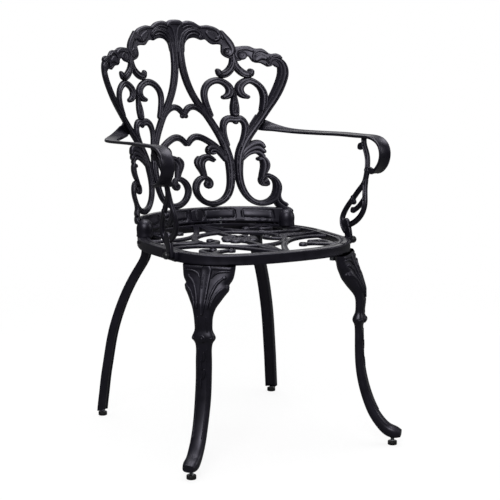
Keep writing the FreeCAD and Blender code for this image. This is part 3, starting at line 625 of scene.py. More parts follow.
class Piece:
    """A visible piece while it is built."""

    def __init__(self, name: str) -> None:
        """Starts an empty piece with the name that its object will have."""
        self.name = name
        self.mesh = bmesh.new()

    def take(self, part: bmesh.types.BMesh) -> None:
        """Adds a finished part to the piece and frees it.

        Args:
            part: a closed mesh.
        """
        bmesh.ops.recalc_face_normals(part, faces=part.faces)
        carrier = bpy.data.meshes.new("carrier")
        part.to_mesh(carrier)
        part.free()
        self.mesh.from_mesh(carrier)
        bpy.data.meshes.remove(carrier)

    def sweep(self, rings: Sequence[Ring], closed: bool = False) -> None:
        """Extrudes a closed section through its places.

        Args:
            rings: the section's points at each place, in the same order.
            closed: whether the last place is the first again.
        """
        part = bmesh.new()
        start = part.faces.new([part.verts.new(point) for point in rings[0]])
        face = start
        for ring in rings[1:]:
            made = bmesh.ops.extrude_face_region(part, geom=[face])
            face = next(f for f in made["geom"] if isinstance(f, bmesh.types.BMFace))
            for vert, point in zip(face.verts, ring):
                vert.co = point
        if closed:
            ends = [start, face] if start.is_valid else [face]
            bmesh.ops.delete(part, geom=ends, context="FACES_ONLY")
            bmesh.ops.remove_doubles(part, verts=part.verts, dist=1e-6)
        self.take(part)

    def add(self, shapes: Sequence[Band | Ribbon | Knob], place: Place) -> None:
        """Adds cast shapes on the surface that place stands for."""
        for shape in shapes:
            self.sweep(shape.rings(place))

    def lathe(self, centre: Vector, profile: Sequence[Flat], turns: int = 40) -> None:
        """Spins a profile about an upright axis.

        Args:
            centre: foot of the axis in metres.
            profile: (radius, height) in mm, from the foot to the top, both ends on the axis.
            turns: number of faces round.
        """
        part = bmesh.new()
        verts = [part.verts.new(centre + Vector((r * MM, 0, h * MM))) for r, h in profile]
        edges = [part.edges.new(pair) for pair in zip(verts, verts[1:])]
        bmesh.ops.spin(part, geom=verts + edges, cent=centre, axis=(0, 0, 1),
                       angle=math.tau, steps=turns, use_merge=True)
        bmesh.ops.remove_doubles(part, verts=part.verts, dist=1e-7)
        self.take(part)

    def block(self, corners: Sequence[Vector], depth: Vector, edge: float) -> None:
        """Extrudes a flat face and rounds its edges.

        Args:
            corners: the face's corners in order.
            depth: how far and where to the face is extruded.
            edge: radius of the rounded edges in mm.
        """
        part = bmesh.new()
        face = part.faces.new([part.verts.new(point) for point in corners])
        made = bmesh.ops.extrude_face_region(part, geom=[face])
        moved = [v for v in made["geom"] if isinstance(v, bmesh.types.BMVert)]
        bmesh.ops.translate(part, verts=moved, vec=depth)
        bmesh.ops.bevel(part, geom=list(part.edges), offset=edge * MM, segments=3, profile=0.5,
                        affect="EDGES", material=-1)
        self.take(part)

    def mirror(self, keep: bool) -> None:
        """Mirrors the piece from left to right.

        Args:
            keep: whether the piece stays and gets its mirror image beside it.
        """
        geometry = list(self.mesh.verts) + list(self.mesh.edges) + list(self.mesh.faces)
        if keep:
            made = bmesh.ops.duplicate(self.mesh, geom=geometry)
            geometry = made["geom"]
        verts = [v for v in geometry if isinstance(v, bmesh.types.BMVert)]
        faces = [f for f in geometry if isinstance(f, bmesh.types.BMFace)]
        bmesh.ops.scale(self.mesh, verts=verts, vec=(-1, 1, 1))
        bmesh.ops.reverse_faces(self.mesh, faces=faces)

    def finish(self, body: Body, slot: str, finish: Finish, replaces: Sequence[str] = (),
               crease: float = 38.0) -> bpy.types.Object:
        """Turns the piece into an object that rides on a body of the frame.

        Args:
            body: the body that carries it.
            slot: the record's material slot; not used.
            finish: its surface.
            replaces: CAD nodes that it stands for.
            crease: edges sharper than this many degrees stay sharp.

        Returns:
            The object, at the origin.
        """
        for face in self.mesh.faces:
            face.smooth = True
        limit = math.radians(crease)
        for edge in self.mesh.edges:
            edge.smooth = edge.calc_face_angle(0.0) < limit
        data = bpy.data.meshes.new(self.name)
        self.mesh.to_mesh(data)
        self.mesh.free()
        data.materials.append(finish.material())
        made = add_object(self.name, data)
        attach(made, body.value)
        if replaces:
            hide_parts(*replaces)
        LOG.info("%s: %d faces on %s", self.name, len(data.polygons), body.value)
        return made


# Back casting

@dataclass
class BackCasting:
    """Openwork back: a reclined cone-shaped wall with a rail along its foot.

    Args:
        foot: height of the rail's underside.
        radius: inside radius of the wall at its foot, seen from above.
        flare: growth of that radius per mm of height.
        recline: lean of the wall's axis to the rear.
        setback: front of the wall's foot behind the drawing's origin.
        thickness: from the wall's face to its rear.
        rail_front: the rail's front behind the wall's face.
        rail_depth: the rail's thickness.
        rail_end: half the rail's length, measured across the chair.
        panel_sides: lower and upper border of the rail's panels above its underside.
        shortest_pillow: panels longer than this have a raised floor.
        boss_forward: the end bosses' axis in front of the rail's end.
        crown_lift: highest line of the crown's fine leaves over the wall's face.
    """

    foot: float = 415.0
    radius: float = 201.0
    flare: float = 0.279
    recline: float = math.radians(13.6)
    setback: float = 197.3
    thickness: float = 11.0
    rail_front: float = -1.5
    rail_depth: float = 14.0
    rail_end: float = 170.0
    panel_sides: Flat = (9.5, 32.0)
    shortest_pillow: float = 40.0
    boss_forward: float = 13.0
    crown_lift: float = -0.2

    def place(self, x: float, z: float, height: float) -> Vector:
        """Puts a point of the front elevation on the wall.

        Args:
            x: millimetres across.
            z: millimetres above the floor.
            height: millimetres in front of the wall's face.

        Returns:
            The point in the frame.
        """
        tilt = math.atan(self.flare) - self.recline
        c, s = math.cos(tilt), math.sin(tilt)
        rise = z - self.foot
        reach = self.radius - height + self.flare * rise * c
        # radius at the point, squared, equals x squared plus its distance to the rear, squared
        square = c * c - (self.flare * s) ** 2
        single = 2 * s * (c * rise + self.flare * reach)
        rest = (rise * s) ** 2 - reach ** 2 + x * x
        behind = (-single + math.sqrt(single ** 2 - 4 * square * rest)) / (2 * square)
        return from_drawing(x, behind + self.setback - self.radius, z)

    def stems(self) -> list[Band]:
        """Draws the two long stems that end in scrolls.

        Returns:
            Their bands, inner stem first.
        """
        return [
            Band(((8.5, 806), (9, 760), (14, 730), (24, 700), (37, 675), (53, 650), (67, 625),
                  (79, 600), (88, 570), (91.5, 540), (90, 512), (85, 488), (75, 470),
                  (60, 459.5), (44, 456.5), (28, 461), (15, 473), (9.5, 488), (12.5, 501),
                  (20.5, 510), (30.5, 514), (39.5, 511.5), (45, 504.5), (44.5, 497.5),
                  (40, 493.5), (34.5, 495.5), (33, 500.5), (37, 504)),
                 (17, 17, 17, 16, 16, 16, 16, 17, 18, 19, 17, 15, 14, 13, 13, 13, 14, 16, 16,
                  14, 12, 11, 11, 10, 9, 8, 7, 6), RIDGED),
            Band(((190, 768), (199, 774), (209, 769), (213.5, 757), (212, 738), (206, 720),
                  (197, 700), (186, 680), (173, 660), (160, 640), (146, 620), (132, 600),
                  (121, 580), (113, 560), (109, 540), (107, 512), (110, 490), (118, 472),
                  (129, 461), (141, 457.5), (153, 460.5), (164, 470), (170, 484), (172.5, 497),
                  (171, 508), (166, 515), (158.5, 518), (150.5, 514.5), (146.5, 505.5),
                  (150, 498), (156, 499.5), (157, 505)),
                 (10, 12, 14, 16, 17, 17, 17, 16, 16, 16, 17, 18, 19, 18, 17, 15, 14, 13, 13,
                  13, 13, 13, 12, 12, 11, 11, 11, 10, 9, 8, 7, 6), RIDGED),
        ]

    def leaves(self) -> list[Band]:
        """Draws the hearts, hooks, drop, horseshoe, arches and leaves between the stems.

        Returns:
            Their bands, from the top down.
        """
        return [
            Band(((62, 650), (54, 678), (53, 698), (59, 712), (71, 722), (87, 725), (101, 719),
                  (110, 706), (106, 693), (95, 688)),
                 (12, 14, 15, 15, 15, 15, 16, 18, 16, 10), HEART),
            Band(((143, 689), (133, 694), (129, 707), (138, 720), (150, 725), (163, 719),
                  (172, 706), (174, 685), (168, 660)),
                 (10, 16, 18, 16, 15, 14, 14, 14, 12), HEART),
            Band(((124, 784), (123, 769), (119.5, 756), (111, 744.5), (101, 738.5),
                  (93.5, 739), (90, 745.5)), (12, 13, 15, 17, 17, 16, 12), RIDGED, -0.4),
            Band(((124, 784), (125, 769), (128.5, 756), (137, 744.5), (146.5, 738.5),
                  (153, 739), (156.5, 745.5)), (12, 13, 15, 17, 17, 16, 12), RIDGED, -0.4),
            Band(((118, 698), (116.5, 681), (115, 665), (114, 653)), (6, 14, 19, 18), LEAF,
                 -0.2),
            Band(((90, 585), (86.5, 606), (86.5, 622), (91, 635), (101, 641), (112, 640),
                  (123, 641), (131, 632), (132, 618), (127, 600), (119, 580)),
                 (12, 12, 13, 15, 16, 16, 16, 14, 14, 13, 12), HEART, -0.3),
            Band(((3, 655), (10, 664), (21, 668.5), (36, 664), (48, 654), (58, 641)),
                 (12, 14, 14, 13, 13, 12), RIDGED, -0.5),
            Band(((3, 589), (11, 598), (23, 603), (37, 600), (51, 592), (66, 580), (80, 562)),
                 (12, 14, 15, 15, 15, 15, 14), RIDGED, -0.4),
            Band(((84, 556), (74.5, 572), (63, 579), (51, 578.5), (46, 571), (48.5, 565)),
                 (12, 11, 11, 11, 9, 7), ROUND, -0.6),
            Band(((84, 552), (73, 566), (64.5, 572.5), (56, 572.5), (52, 568.5), (57, 566),
                  (63, 567.5)), (12, 11, 9, 8, 7, 7, 5), ROUND, -0.9),
            Band(((31, 516), (27, 526), (20.5, 538), (18.5, 549), (24, 557)),
                 (9, 9, 10, 11, 9), ROUND, -0.6),
            Band(((33, 516), (30, 527), (26, 540), (28, 553), (37, 559.5), (50, 559),
                  (59, 552.5)), (9, 10, 12, 12, 10, 9, 6), ROUND, -0.2),
            Band(((35, 516), (33.5, 528), (32, 540), (36, 550.5), (45, 554), (56, 549.5)),
                 (8, 8, 9, 9, 8, 6), ROUND, -0.9),
            Band(((111, 552), (121, 570), (134, 582), (145, 588), (154, 588), (158, 581)),
                 (9, 11, 12, 13, 13, 11), ROUND, -0.2),
            Band(((112, 550), (125, 567), (138, 576), (150, 578), (157.5, 571)),
                 (9, 10, 11, 12, 12), ROUND, -0.6),
            Band(((114, 549), (128, 563), (138, 568), (149, 568), (156, 561)),
                 (8, 9, 9, 10, 10), ROUND, -1.4),
            Band(((149, 553), (153, 555), (155.5, 548), (155, 536), (151.5, 524), (148, 512)),
                 (9, 9, 10, 10, 9, 8), ROUND, -0.6),
            Band(((155, 559), (160, 551.5), (161.5, 542), (158.5, 531), (153, 521)),
                 (8, 9, 9, 8, 6), ROUND, -0.2),
            Band(((172, 486), (170.5, 470), (173.5, 462), (177, 458.5)), (8, 8, 10, 11), ROUND),
            Band(((167, 478), (167, 463), (172, 453), (180, 446)), (6, 8, 13, 15), ROUND,
                 -0.6),
        ]

    def cusps(self) -> list[Knob]:
        """Draws the points that hang under the horseshoe and between the arches.

        Returns:
            A knob for each.
        """
        return [
            Knob((113.5, 634.0), 5.5, 9.0, -1.6),
            Knob((4.0, 649.0), 5.5, 9.0, -1.4),
        ]

    def scroll_hearts(self) -> list[Knob]:
        """Fills the middles of the two stems' scrolls.

        Returns:
            A knob for each.
        """
        return [
            Knob((39.0, 502.5), 7.5, 9.4, -1.6),
            Knob((152.5, 506.5), 8.5, 9.4, -1.6),
        ]

    def crown_plates(self) -> list[Ribbon]:
        """Draws the plates under the leaf relief of the crown and the shoulder.

        Returns:
            The two plates.
        """
        crown = (
            ((0, 859.5), (0, 781)), ((8, 859.3), (8, 781)), ((15, 857.5), (16, 786)),
            ((20, 855), (19, 802)), ((28, 857), (28, 815)), ((40, 856), (42, 819)),
            ((50, 852), (51, 816.5)), ((60, 846), (59, 814)), ((70, 847), (68, 815)),
            ((82, 846), (80, 805)), ((92, 843), (92, 804.5)), ((101, 837), (103, 801)),
            ((109, 827), (101, 788)), ((116, 816), (106, 777)), ((123, 807), (118, 772)),
            ((129, 800), (129, 768)),
        )
        shoulder = (
            ((122, 803), (122, 771)), ((129, 800), (130, 768)), ((139, 800.5), (138, 768.5)),
            ((148, 801.5), (146, 774)), ((157, 801), (156, 777)), ((164, 798), (163, 765)),
            ((170, 795.5), (170, 763.5)), ((179, 796), (178, 761.5)), ((188, 791), (188, 756)),
            ((196, 784), (197, 759)), ((206, 785), (204, 753)), ((213, 781), (208, 754)),
        )
        sunk = -2.5
        return [Ribbon(crown, PLATE, sunk), Ribbon(shoulder, PLATE, sunk)]

    def crown_relief(self) -> list[Band | Knob]:
        """Draws the leaves, curls and kidneys cast on the crown and the shoulder.

        Returns:
            Their bands, and the snail-like bellies where crown and shoulder meet.
        """
        low = self.crown_lift
        return [
            Band(((1, 853), (10, 852), (18, 847)), (12, 12, 8), ROUND, low),
            Band(((22, 850), (35, 851), (47, 848), (57, 842)), (9, 11, 10, 7), ROUND, low),
            Band(((19, 841), (31, 845.5), (44, 844), (55, 838)), (4, 5, 5, 4), RIB, low),
            Band(((62, 842.5), (76, 842), (90, 838), (101, 830), (106, 817)),
                 (7, 9, 9, 9, 6), ROUND, low),
            Band(((2, 790), (2, 812), (3, 828), (8, 841), (15, 848)), (6, 6, 6, 6, 5), ROUND,
                 low),
            Band(((9, 770), (9.5, 800), (15, 820), (26, 833), (41, 838), (55, 834), (60, 826),
                  (55, 820)), (14, 15, 15, 13, 12, 12, 11, 8), HEART, 0.4),
            Band(((20, 812), (29, 824), (41, 829), (52, 826)), (4, 5, 5, 4), RIB, 0.5),
            Band(((75, 830), (83, 822), (93, 817), (100, 824), (96, 833)),
                 (14, 19, 15, 10, 7), ROUND, 0.6),
            Band(((88, 814), (95, 816), (98, 822)), (4, 4, 3), RIB, 1.2),
            Band(((106, 832), (113, 820), (120, 808), (124, 797), (122, 786), (115, 780)),
                 (8, 13, 15, 13, 10, 7), ROUND, 0.2),
            Band(((132, 792), (142, 795), (153, 795), (163, 790)), (10, 11, 11, 8), ROUND, low),
            Band(((131, 775), (129, 784), (133, 791)), (6, 7, 6), ROUND, low),
            Band(((168, 772), (176, 777), (184, 774)), (14, 17, 12), ROUND, 0.6),
            Band(((163, 770), (163.5, 781), (170, 789), (180, 790), (188, 785)),
                 (5, 6, 6, 6, 5), ROUND, 0.2),
            Band(((191, 764), (193, 774), (202, 779), (211, 776)), (7, 8, 9, 8), HEART, 0.6),
            Band(((186, 762), (189, 758), (194, 760)), (5, 6, 5), ROUND, low),
            Knob((112, 789), 10.5, 9.0, 1.2, SCROLL_EYE),
            Knob((141, 781), 11.0, 9.0, 1.0, SCROLL_EYE),
        ]

    def panel_depth(self, near_end: float, near_side: float, pillow: bool) -> float:
        """Finds how deep a rail panel is sunk.

        Args:
            near_end: distance to the panel's nearer end.
            near_side: distance to its nearer long border.
            pillow: whether its floor rises again inside a groove.

        Returns:
            Depth under the rail's face in mm.
        """
        corner = 6.0
        away = min(near_end, near_side)
        if near_end < corner and near_side < corner:
            away = corner - math.hypot(corner - near_end, corner - near_side)
        steps = [(0.0, 0.0), (0.8, 2.3), (3.0, 2.4)]
        steps += [(4.6, 0.8), (8.5, 0.4)] if pillow else [(8.5, 2.4)]
        return read_steps(steps, away)

    def rail_rings(self) -> list[Ring]:
        """Draws the rail's section along its length, with its grooved panels.

        Returns:
            The section's points at each station, from one end boss to the other.
        """
        panels = ((-157, -100), (-89, -20), (-18.5, 18.5), (20, 89), (100, 157))
        ends = (0.0, 0.4, 0.8, 1.6, 3.0, 3.9, 4.8, 8.5)
        edges = [-self.rail_end, self.rail_end]
        for low, high in panels:
            edges += [low + t for t in ends] + [high - t for t in ends]
        stops = sorted(set(edges + [x * 6.0 for x in range(-28, 29)]))
        low_side, high_side = self.panel_sides
        front = -self.rail_front
        back = front - self.rail_depth
        rings = []
        for x in stops:
            low, high = next((p for p in panels if p[0] <= x <= p[1]), (x, x))
            near_end = min(x - low, high - x)
            pillow = high - low > self.shortest_pillow
            section = [(0, front - 2.4), (3.4, front - 2.4), (4.4, front - 0.5), (5.4, front),
                       (low_side, front)]
            inner = [(t, low_side + t) for t in ends[2:]]
            inner += [(t, high_side - t) for t in ends[-2:1:-1]]
            section += [
                (up, front - self.panel_depth(near_end, t, pillow)) for t, up in inner
            ]
            section += [
                (high_side, front), (33.2, front), (34.5, front - 0.6), (35, front - 1.8),
                (35, back + 1.5), (34, back), (1, back), (0, back + 1),
            ]
            rings.append([self.place(x, self.foot + up, height) for up, height in section])
        return rings

    def build(self) -> list[bpy.types.Object]:
        """Builds the openwork, the crown and the rail.

        Returns:
            The three objects.
        """
        scrolls = Piece("back_scrollwork")
        scrolls.add(self.stems() + self.leaves() + self.cusps() + self.scroll_hearts(),
                    self.place)
        scrolls.mirror(True)
        crown = Piece("back_crown")
        crown.add(self.crown_plates() + self.crown_relief(), self.place)
        crown.mirror(True)
        rail = Piece("back_rail")
        rail.sweep(self.rail_rings())
        tablet = Ribbon((((-12.5, 445), (-12.5, 424)), ((-6, 447), (-6, 422.5)),
                         ((0, 447.6), (0, 422)), ((6, 447), (6, 422.5)),
                         ((12.5, 445), (12.5, 424))), PLATE, 2.6)
        drop = Band(((0, 443.5), (0, 434.5), (0, 425.5)), (6, 9.5, 6), ROUND, 4.2, 3.0)
        rail.add([tablet, drop], self.place)
        boss = self.place(self.rail_end, 432.5, 0) - Vector((0, self.boss_forward * MM, 0))
        profile = [(0, 415), (17.0, 415), (17.2, 417), (16.6, 419.5), (16.9, 426), (17.2, 430),
                   (16.9, 435), (15.6, 440), (13.0, 444.8), (9.2, 448.2), (4.8, 450.4),
                   (0, 451)]
        for side in (1, -1):
            rail.lathe(Vector((boss.x * side, boss.y, 0)), profile)
        look = "casting_back"
        return [
            scrolls.finish(Body.CHAIR, look, POWDER_COAT, ["back_frame"]),
            crown.finish(Body.CHAIR, look, POWDER_COAT),
            rail.finish(Body.CHAIR, look, POWDER_COAT),
        ]


# Seat casting

@dataclass
class SeatCasting:
    """Round-fronted seat: a turned-down rim round an openwork of loops and a medallion.

    Args:
        top: height of the rim's top.
        drop: the openwork's top under the rim's.
        centre: the medallion's centre, from the drawing's origin to the rear.
        rosette: radius of the rosette.
        medallion: radius of the medallion, to the middle of its band.
        boss_radius: radius of the bosses under the rim.
        boss_foot: their lower ends under the rim's top.
        boss_top: their upper ends under the rim's top, inside the rim.
        pad: corners of the tapped pad behind the arm's lug, seen from above.
        pad_foot: height of the pad's underside.
        pad_height: the pad's height.
        outline_half: points of the rim's outer edge, from front to rear.
    """

    top: float = 415.0
    drop: float = 1.5
    centre: float = -4.0
    rosette: float = 40.0
    medallion: float = 94.0
    boss_radius: float = 10.0
    boss_foot: float = 19.9
    boss_top: float = 1.3
    pad: tuple[Flat, ...] = ((177.5, -114.5), (200.6, -114.5), (200.6, -93.5), (177.5, -93.5))
    pad_foot: float = 396.0
    pad_height: float = 18.9
    outline_half: tuple[Flat, ...] = (
        (60, -215), (105, -206), (135, -193), (160, -174), (178, -152), (191, -124),
        (198, -90), (202, -45), (204, 5), (201, 48), (190, 88), (175, 125), (154, 160),
        (122, 188), (75, 206),
    )

    def place(self, x: float, y: float, height: float) -> Vector:
        """Point of the plan, height mm over the lattice."""
        return from_drawing(x, y, self.top - self.drop + height)

    def rim_rings(self) -> list[Ring]:
        """Draws the rim's section all the way round.

        Returns:
            The section's points at each station; the last is the first again.
        """
        right = list(self.outline_half)
        loop = [(0.0, -218.0)] + right + [(0.0, 214.0)] + mirrored(right)
        past = 5
        path = SmoothPath(loop[-past:] + loop + loop[:past + 1])
        start, end = path.keys[past], path.keys[past + len(loop)]
        section = [
            (0.0, 18.5), (0.0, 16.0), (0.5, 14.0), (0.5, 3.5), (0.2, 2.4), (0.6, 1.1), (1.6, 0.2),
            (3.0, 0.0), (14.6, 0.0), (15.2, 1.1), (17.4, 1.3), (18.0, 0.1), (22.4, 0.0),
            (23.5, 0.4), (24.0, 1.4), (24.0, 7.0), (23.0, 8.0), (7.5, 8.0), (5.0, 10.5),
            (4.6, 19.0), (3.6, 20.0), (1.2, 20.0),
        ]
        count = 220
        rings = []
        for i in range(count + 1):
            key = start + (end - start) * (i % count) / count
            x, y = path.at(key)
            dx, dy = unit(*path.slope(key))
            rings.append([
                from_drawing(x - dy * inset, y + dx * inset, self.top - below)
                for inset, below in section
            ])
        return rings

    def bands(self, strokes: Sequence[Stroke]) -> list[Band | Knob]:
        """Turns strokes into bands level with the openwork's top."""
        return [Band(*stroke, lift=0.0, step=4.0) for stroke in strokes]

    def side_openwork(self) -> list[Band | Knob]:
        """Draws the loops, corner scrolls and hooks of the sitter's left half.

        Returns:
            Bands, and the balls at their ends.
        """
        strokes: list[Stroke] = [
            (((94, -4), (118, -4), (146, -4), (196, -4)), (18, 28, 14, 12), LATTICE_LEAF),
            (((0, -206), (20, -160), (46, -110), (80, -68), (122, -45), (160, -44), (196, -58)),
             (14, 13, 13, 13, 13, 13, 13), GROOVED_LATTICE),
            (((0, 204), (22, 156), (48, 103), (80, 62), (124, 44), (162, 46), (196, 62)),
             (14, 13, 13, 13, 13, 13, 13), GROOVED_LATTICE),
            (((152, -170), (130, -146), (106, -124), (84, -122)), (14, 13, 12, 10), LATTICE),
            (((133, -150), (142, -122), (132, -98), (114, -100)), (12, 11, 11, 10), LATTICE),
            (((140, 166), (122, 140), (102, 118), (82, 118)), (14, 13, 12, 10), LATTICE),
            (((125, 144), (136, 120), (128, 98), (112, 98)), (12, 11, 11, 10), LATTICE),
            (((88, -38), (70, -30), (57, -12), (65, 5)), (12, 12, 11, 10), LATTICE),
        ]
        shapes = self.bands(strokes)
        balls = ((82, -124, 9.0), (112, -104, 8.0), (80, 118, 9.0), (110, 102, 8.0),
                 (66, 2, 8.0))
        shapes += [Knob((x, y), radius, 8.2, 1.7, SCROLL_EYE) for x, y, radius in balls]
        return shapes

    def middle_openwork(self) -> list[Band | Knob]:
        """Draws the leaves and spokes on the middle line, the medallion and its rosette.

        Returns:
            Bands, then the knobs of the rosette.
        """
        strokes: list[Stroke] = [
            (((0, -206), (0, -160), (0, -124), (0, -98)), (12, 16, 30, 18), LATTICE_LEAF),
            (((0, 204), (0, 156), (0, 118), (0, 90)), (12, 16, 30, 18), LATTICE_LEAF),
            (((0, -98), (0, -70), (0, -30)), (14, 13, 16), LATTICE),
            (((0, 90), (0, 62), (0, 22)), (14, 13, 16), LATTICE),
            (self.circle(self.medallion), (13.0,) * 26, GROOVED_LATTICE),
        ]
        shapes = self.bands(strokes)
        centre = (0.0, self.centre)
        shapes.append(Knob(centre, self.rosette * 0.8, 6.5, -0.2))
        shapes.append(Knob(centre, self.rosette * 0.34, 8.5, 2.9, SCROLL_EYE))
        between = 0.39  # radians from a petal to the bead beside it
        for turn in range(0, 360, 45):
            angle = math.radians(turn)
            petal = self.round_point(angle, self.rosette * 0.7)
            shapes.append(Knob(petal, self.rosette * 0.3, 8.0, 1.5))
            bead = self.round_point(angle + between, self.rosette * 0.46)
            shapes.append(Knob(bead, 3.6, 4.0, 1.9))
        return shapes

    def round_point(self, angle: float, radius: float) -> Flat:
        """Point at an angle, in radians from the rear, round the medallion's centre."""
        return math.sin(angle) * radius, self.centre + math.cos(angle) * radius

    def circle(self, radius: float) -> tuple[Flat, ...]:
        """Points all round, and one past their start so that the band's ends overlap."""
        return tuple(self.round_point(math.radians(a), radius) for a in range(0, 376, 15))

    def boss_place(self, x: float, y: float, height: float) -> Vector:
        """Point of the plan, height mm over the top of the bosses under the rim."""
        return from_drawing(x, y, self.top - self.boss_top + height)

    def build(self) -> list[bpy.types.Object]:
        """Builds the rim with its bosses and pads, and the openwork.

        Returns:
            The two objects.
        """
        rim = Piece("seat_rim")
        rim.sweep(self.rim_rings(), True)
        boss_height = self.boss_foot - self.boss_top
        for x, y in LegPlan.FRONT.bolts() + LegPlan.REAR.bolts():
            rim.add([Knob((x * side, y), self.boss_radius, boss_height) for side in (1, -1)],
                    self.boss_place)
        for side in (1, -1):
            corners = [from_drawing(side * x, y, self.pad_foot) for x, y in self.pad]
            rim.block(corners, Vector((0, 0, self.pad_height * MM)), 1.0)
        lattice = Piece("seat_lattice")
        lattice.add(self.side_openwork(), self.place)
        lattice.mirror(True)
        lattice.add(self.middle_openwork(), self.place)
        return [
            rim.finish(Body.CHAIR, "casting_seat", POWDER_COAT, ["seat_frame"]),
            lattice.finish(Body.CHAIR, "casting_seat", POWDER_COAT),
        ]


# Legs

class LegPlan(Enum):
    """Upright plane of each leg: (knee, direction outwards, bolt inset, bolt spread)."""

    FRONT = ((176.0, -190.0), (0.727, -0.686), 52.0, 17.0)
    REAR = ((160.0, 194.0), (0.745, 0.667), 43.0, 23.0)

    def point(self, reach: float, side: float, z: float) -> Vector:
        """Finds a point of the leg's plane.

        Args:
            reach: millimetres outwards from the knee.
            side: millimetres across.
            z: millimetres above the floor.

        Returns:
            The point in the frame.
        """
        (x, y), direction, _, _ = self.value
        ox, oy = unit(*direction)
        return from_drawing(x + ox * reach - oy * side, y + oy * reach + ox * side, z)

    def bolts(self) -> list[Flat]:
        """Finds the leg's two bolts.

        Returns:
            Their places in the drawing's plan.
        """
        _, _, inset, spread = self.value
        places = []
        for side in (-1, 1):
            point = self.point(-inset, side * spread, 0)
            places.append((point.x / MM, point.y / MM - ORIGIN_SHIFT))
        return places


@dataclass
class Leg:
    """A leg casting: a blade through measured sections, and its flange.

    Args:
        plan: where the leg stands.
        side: the sitter's side.
        foot: height of the leg's lower end.
        under_seat: height of its upper end.
        flange_thickness: thickness of the plate under the seat.
        stations: the sections from top to foot, as one curve.
    """

    plan: LegPlan
    side: Side
    foot: float = 12.0
    under_seat: float = 395.0
    flange_thickness: float = 7.0
    stations: SmoothPath = field(init=False)

    def table(self) -> list[tuple[float, ...]]:
        """Sections from top to foot: reach, height, tilt, depth, width."""
        raise NotImplementedError

    def section(self) -> list[Flat]:
        """Closed section as shares of the half depth and the half width."""
        raise NotImplementedError

    def __post_init__(self) -> None:
        """Fits the run of the leg."""
        rows = self.table()
        self.stations = SmoothPath(rows, chords([row[:2] for row in rows]))

    def blade_point(self, row: Sequence[float], deep: float, wide: float) -> Vector:
        """Finds a point of a section, square to the leg's run.

        Args:
            row: the section's reach, height and tilt.
            deep: millimetres outwards from the section's middle.
            wide: millimetres across.

        Returns:
            The point in the frame, held between the foot and the seat.
        """
        reach, z, tilt = row[:3]
        lean = math.radians(tilt)
        level = z + deep * math.sin(lean)
        level = min(max(level, self.foot), self.under_seat)
        return self.plan.point(reach + deep * math.cos(lean), wide, level)

    def rings(self, step: float) -> list[Ring]:
        """Lays the section along the blade.

        Args:
            step: distance between stations in mm.

        Returns:
            The section's points at each station, from top to foot.
        """
        rings = []
        for key in self.stations.stations(step):
            row = self.stations.at(key)
            depth, width = row[3], row[4]
            rings.append([
                self.blade_point(row, a * depth / 2, b * width / 2) for a, b in self.section()
            ])
        return rings

    def flange(self, piece: Piece, inner: float, outer: float, half: float) -> None:
        """Adds the plate that bears on the underside of the seat.

        Args:
            piece: the leg's piece.
            inner: reach of the plate's inner end.
            outer: reach of its outer end.
            half: half its width.
        """
        corners = [
            self.plan.point(reach, side, self.under_seat - self.flange_thickness)
            for reach, side in ((inner, half), (inner, -half), (outer, -half), (outer, half))
        ]
        piece.block(corners, Vector((0, 0, self.flange_thickness * MM)), 1.6)

    def build(self) -> bpy.types.Object:
        """Builds the leg on its side of the chair.

        Returns:
            The object.
        """
        name = f"{self.plan.name.lower()}_leg_{self.side.value}"
        piece = Piece(name + "_casting")
        self.fill(piece)
        if self.side is Side.RIGHT:
            piece.mirror(False)
        return piece.finish(Body.CHAIR, "casting_leg", POWDER_COAT, [name])

    def fill(self, piece: Piece) -> None:
        """Adds all parts of the leg to the piece."""
        raise NotImplementedError


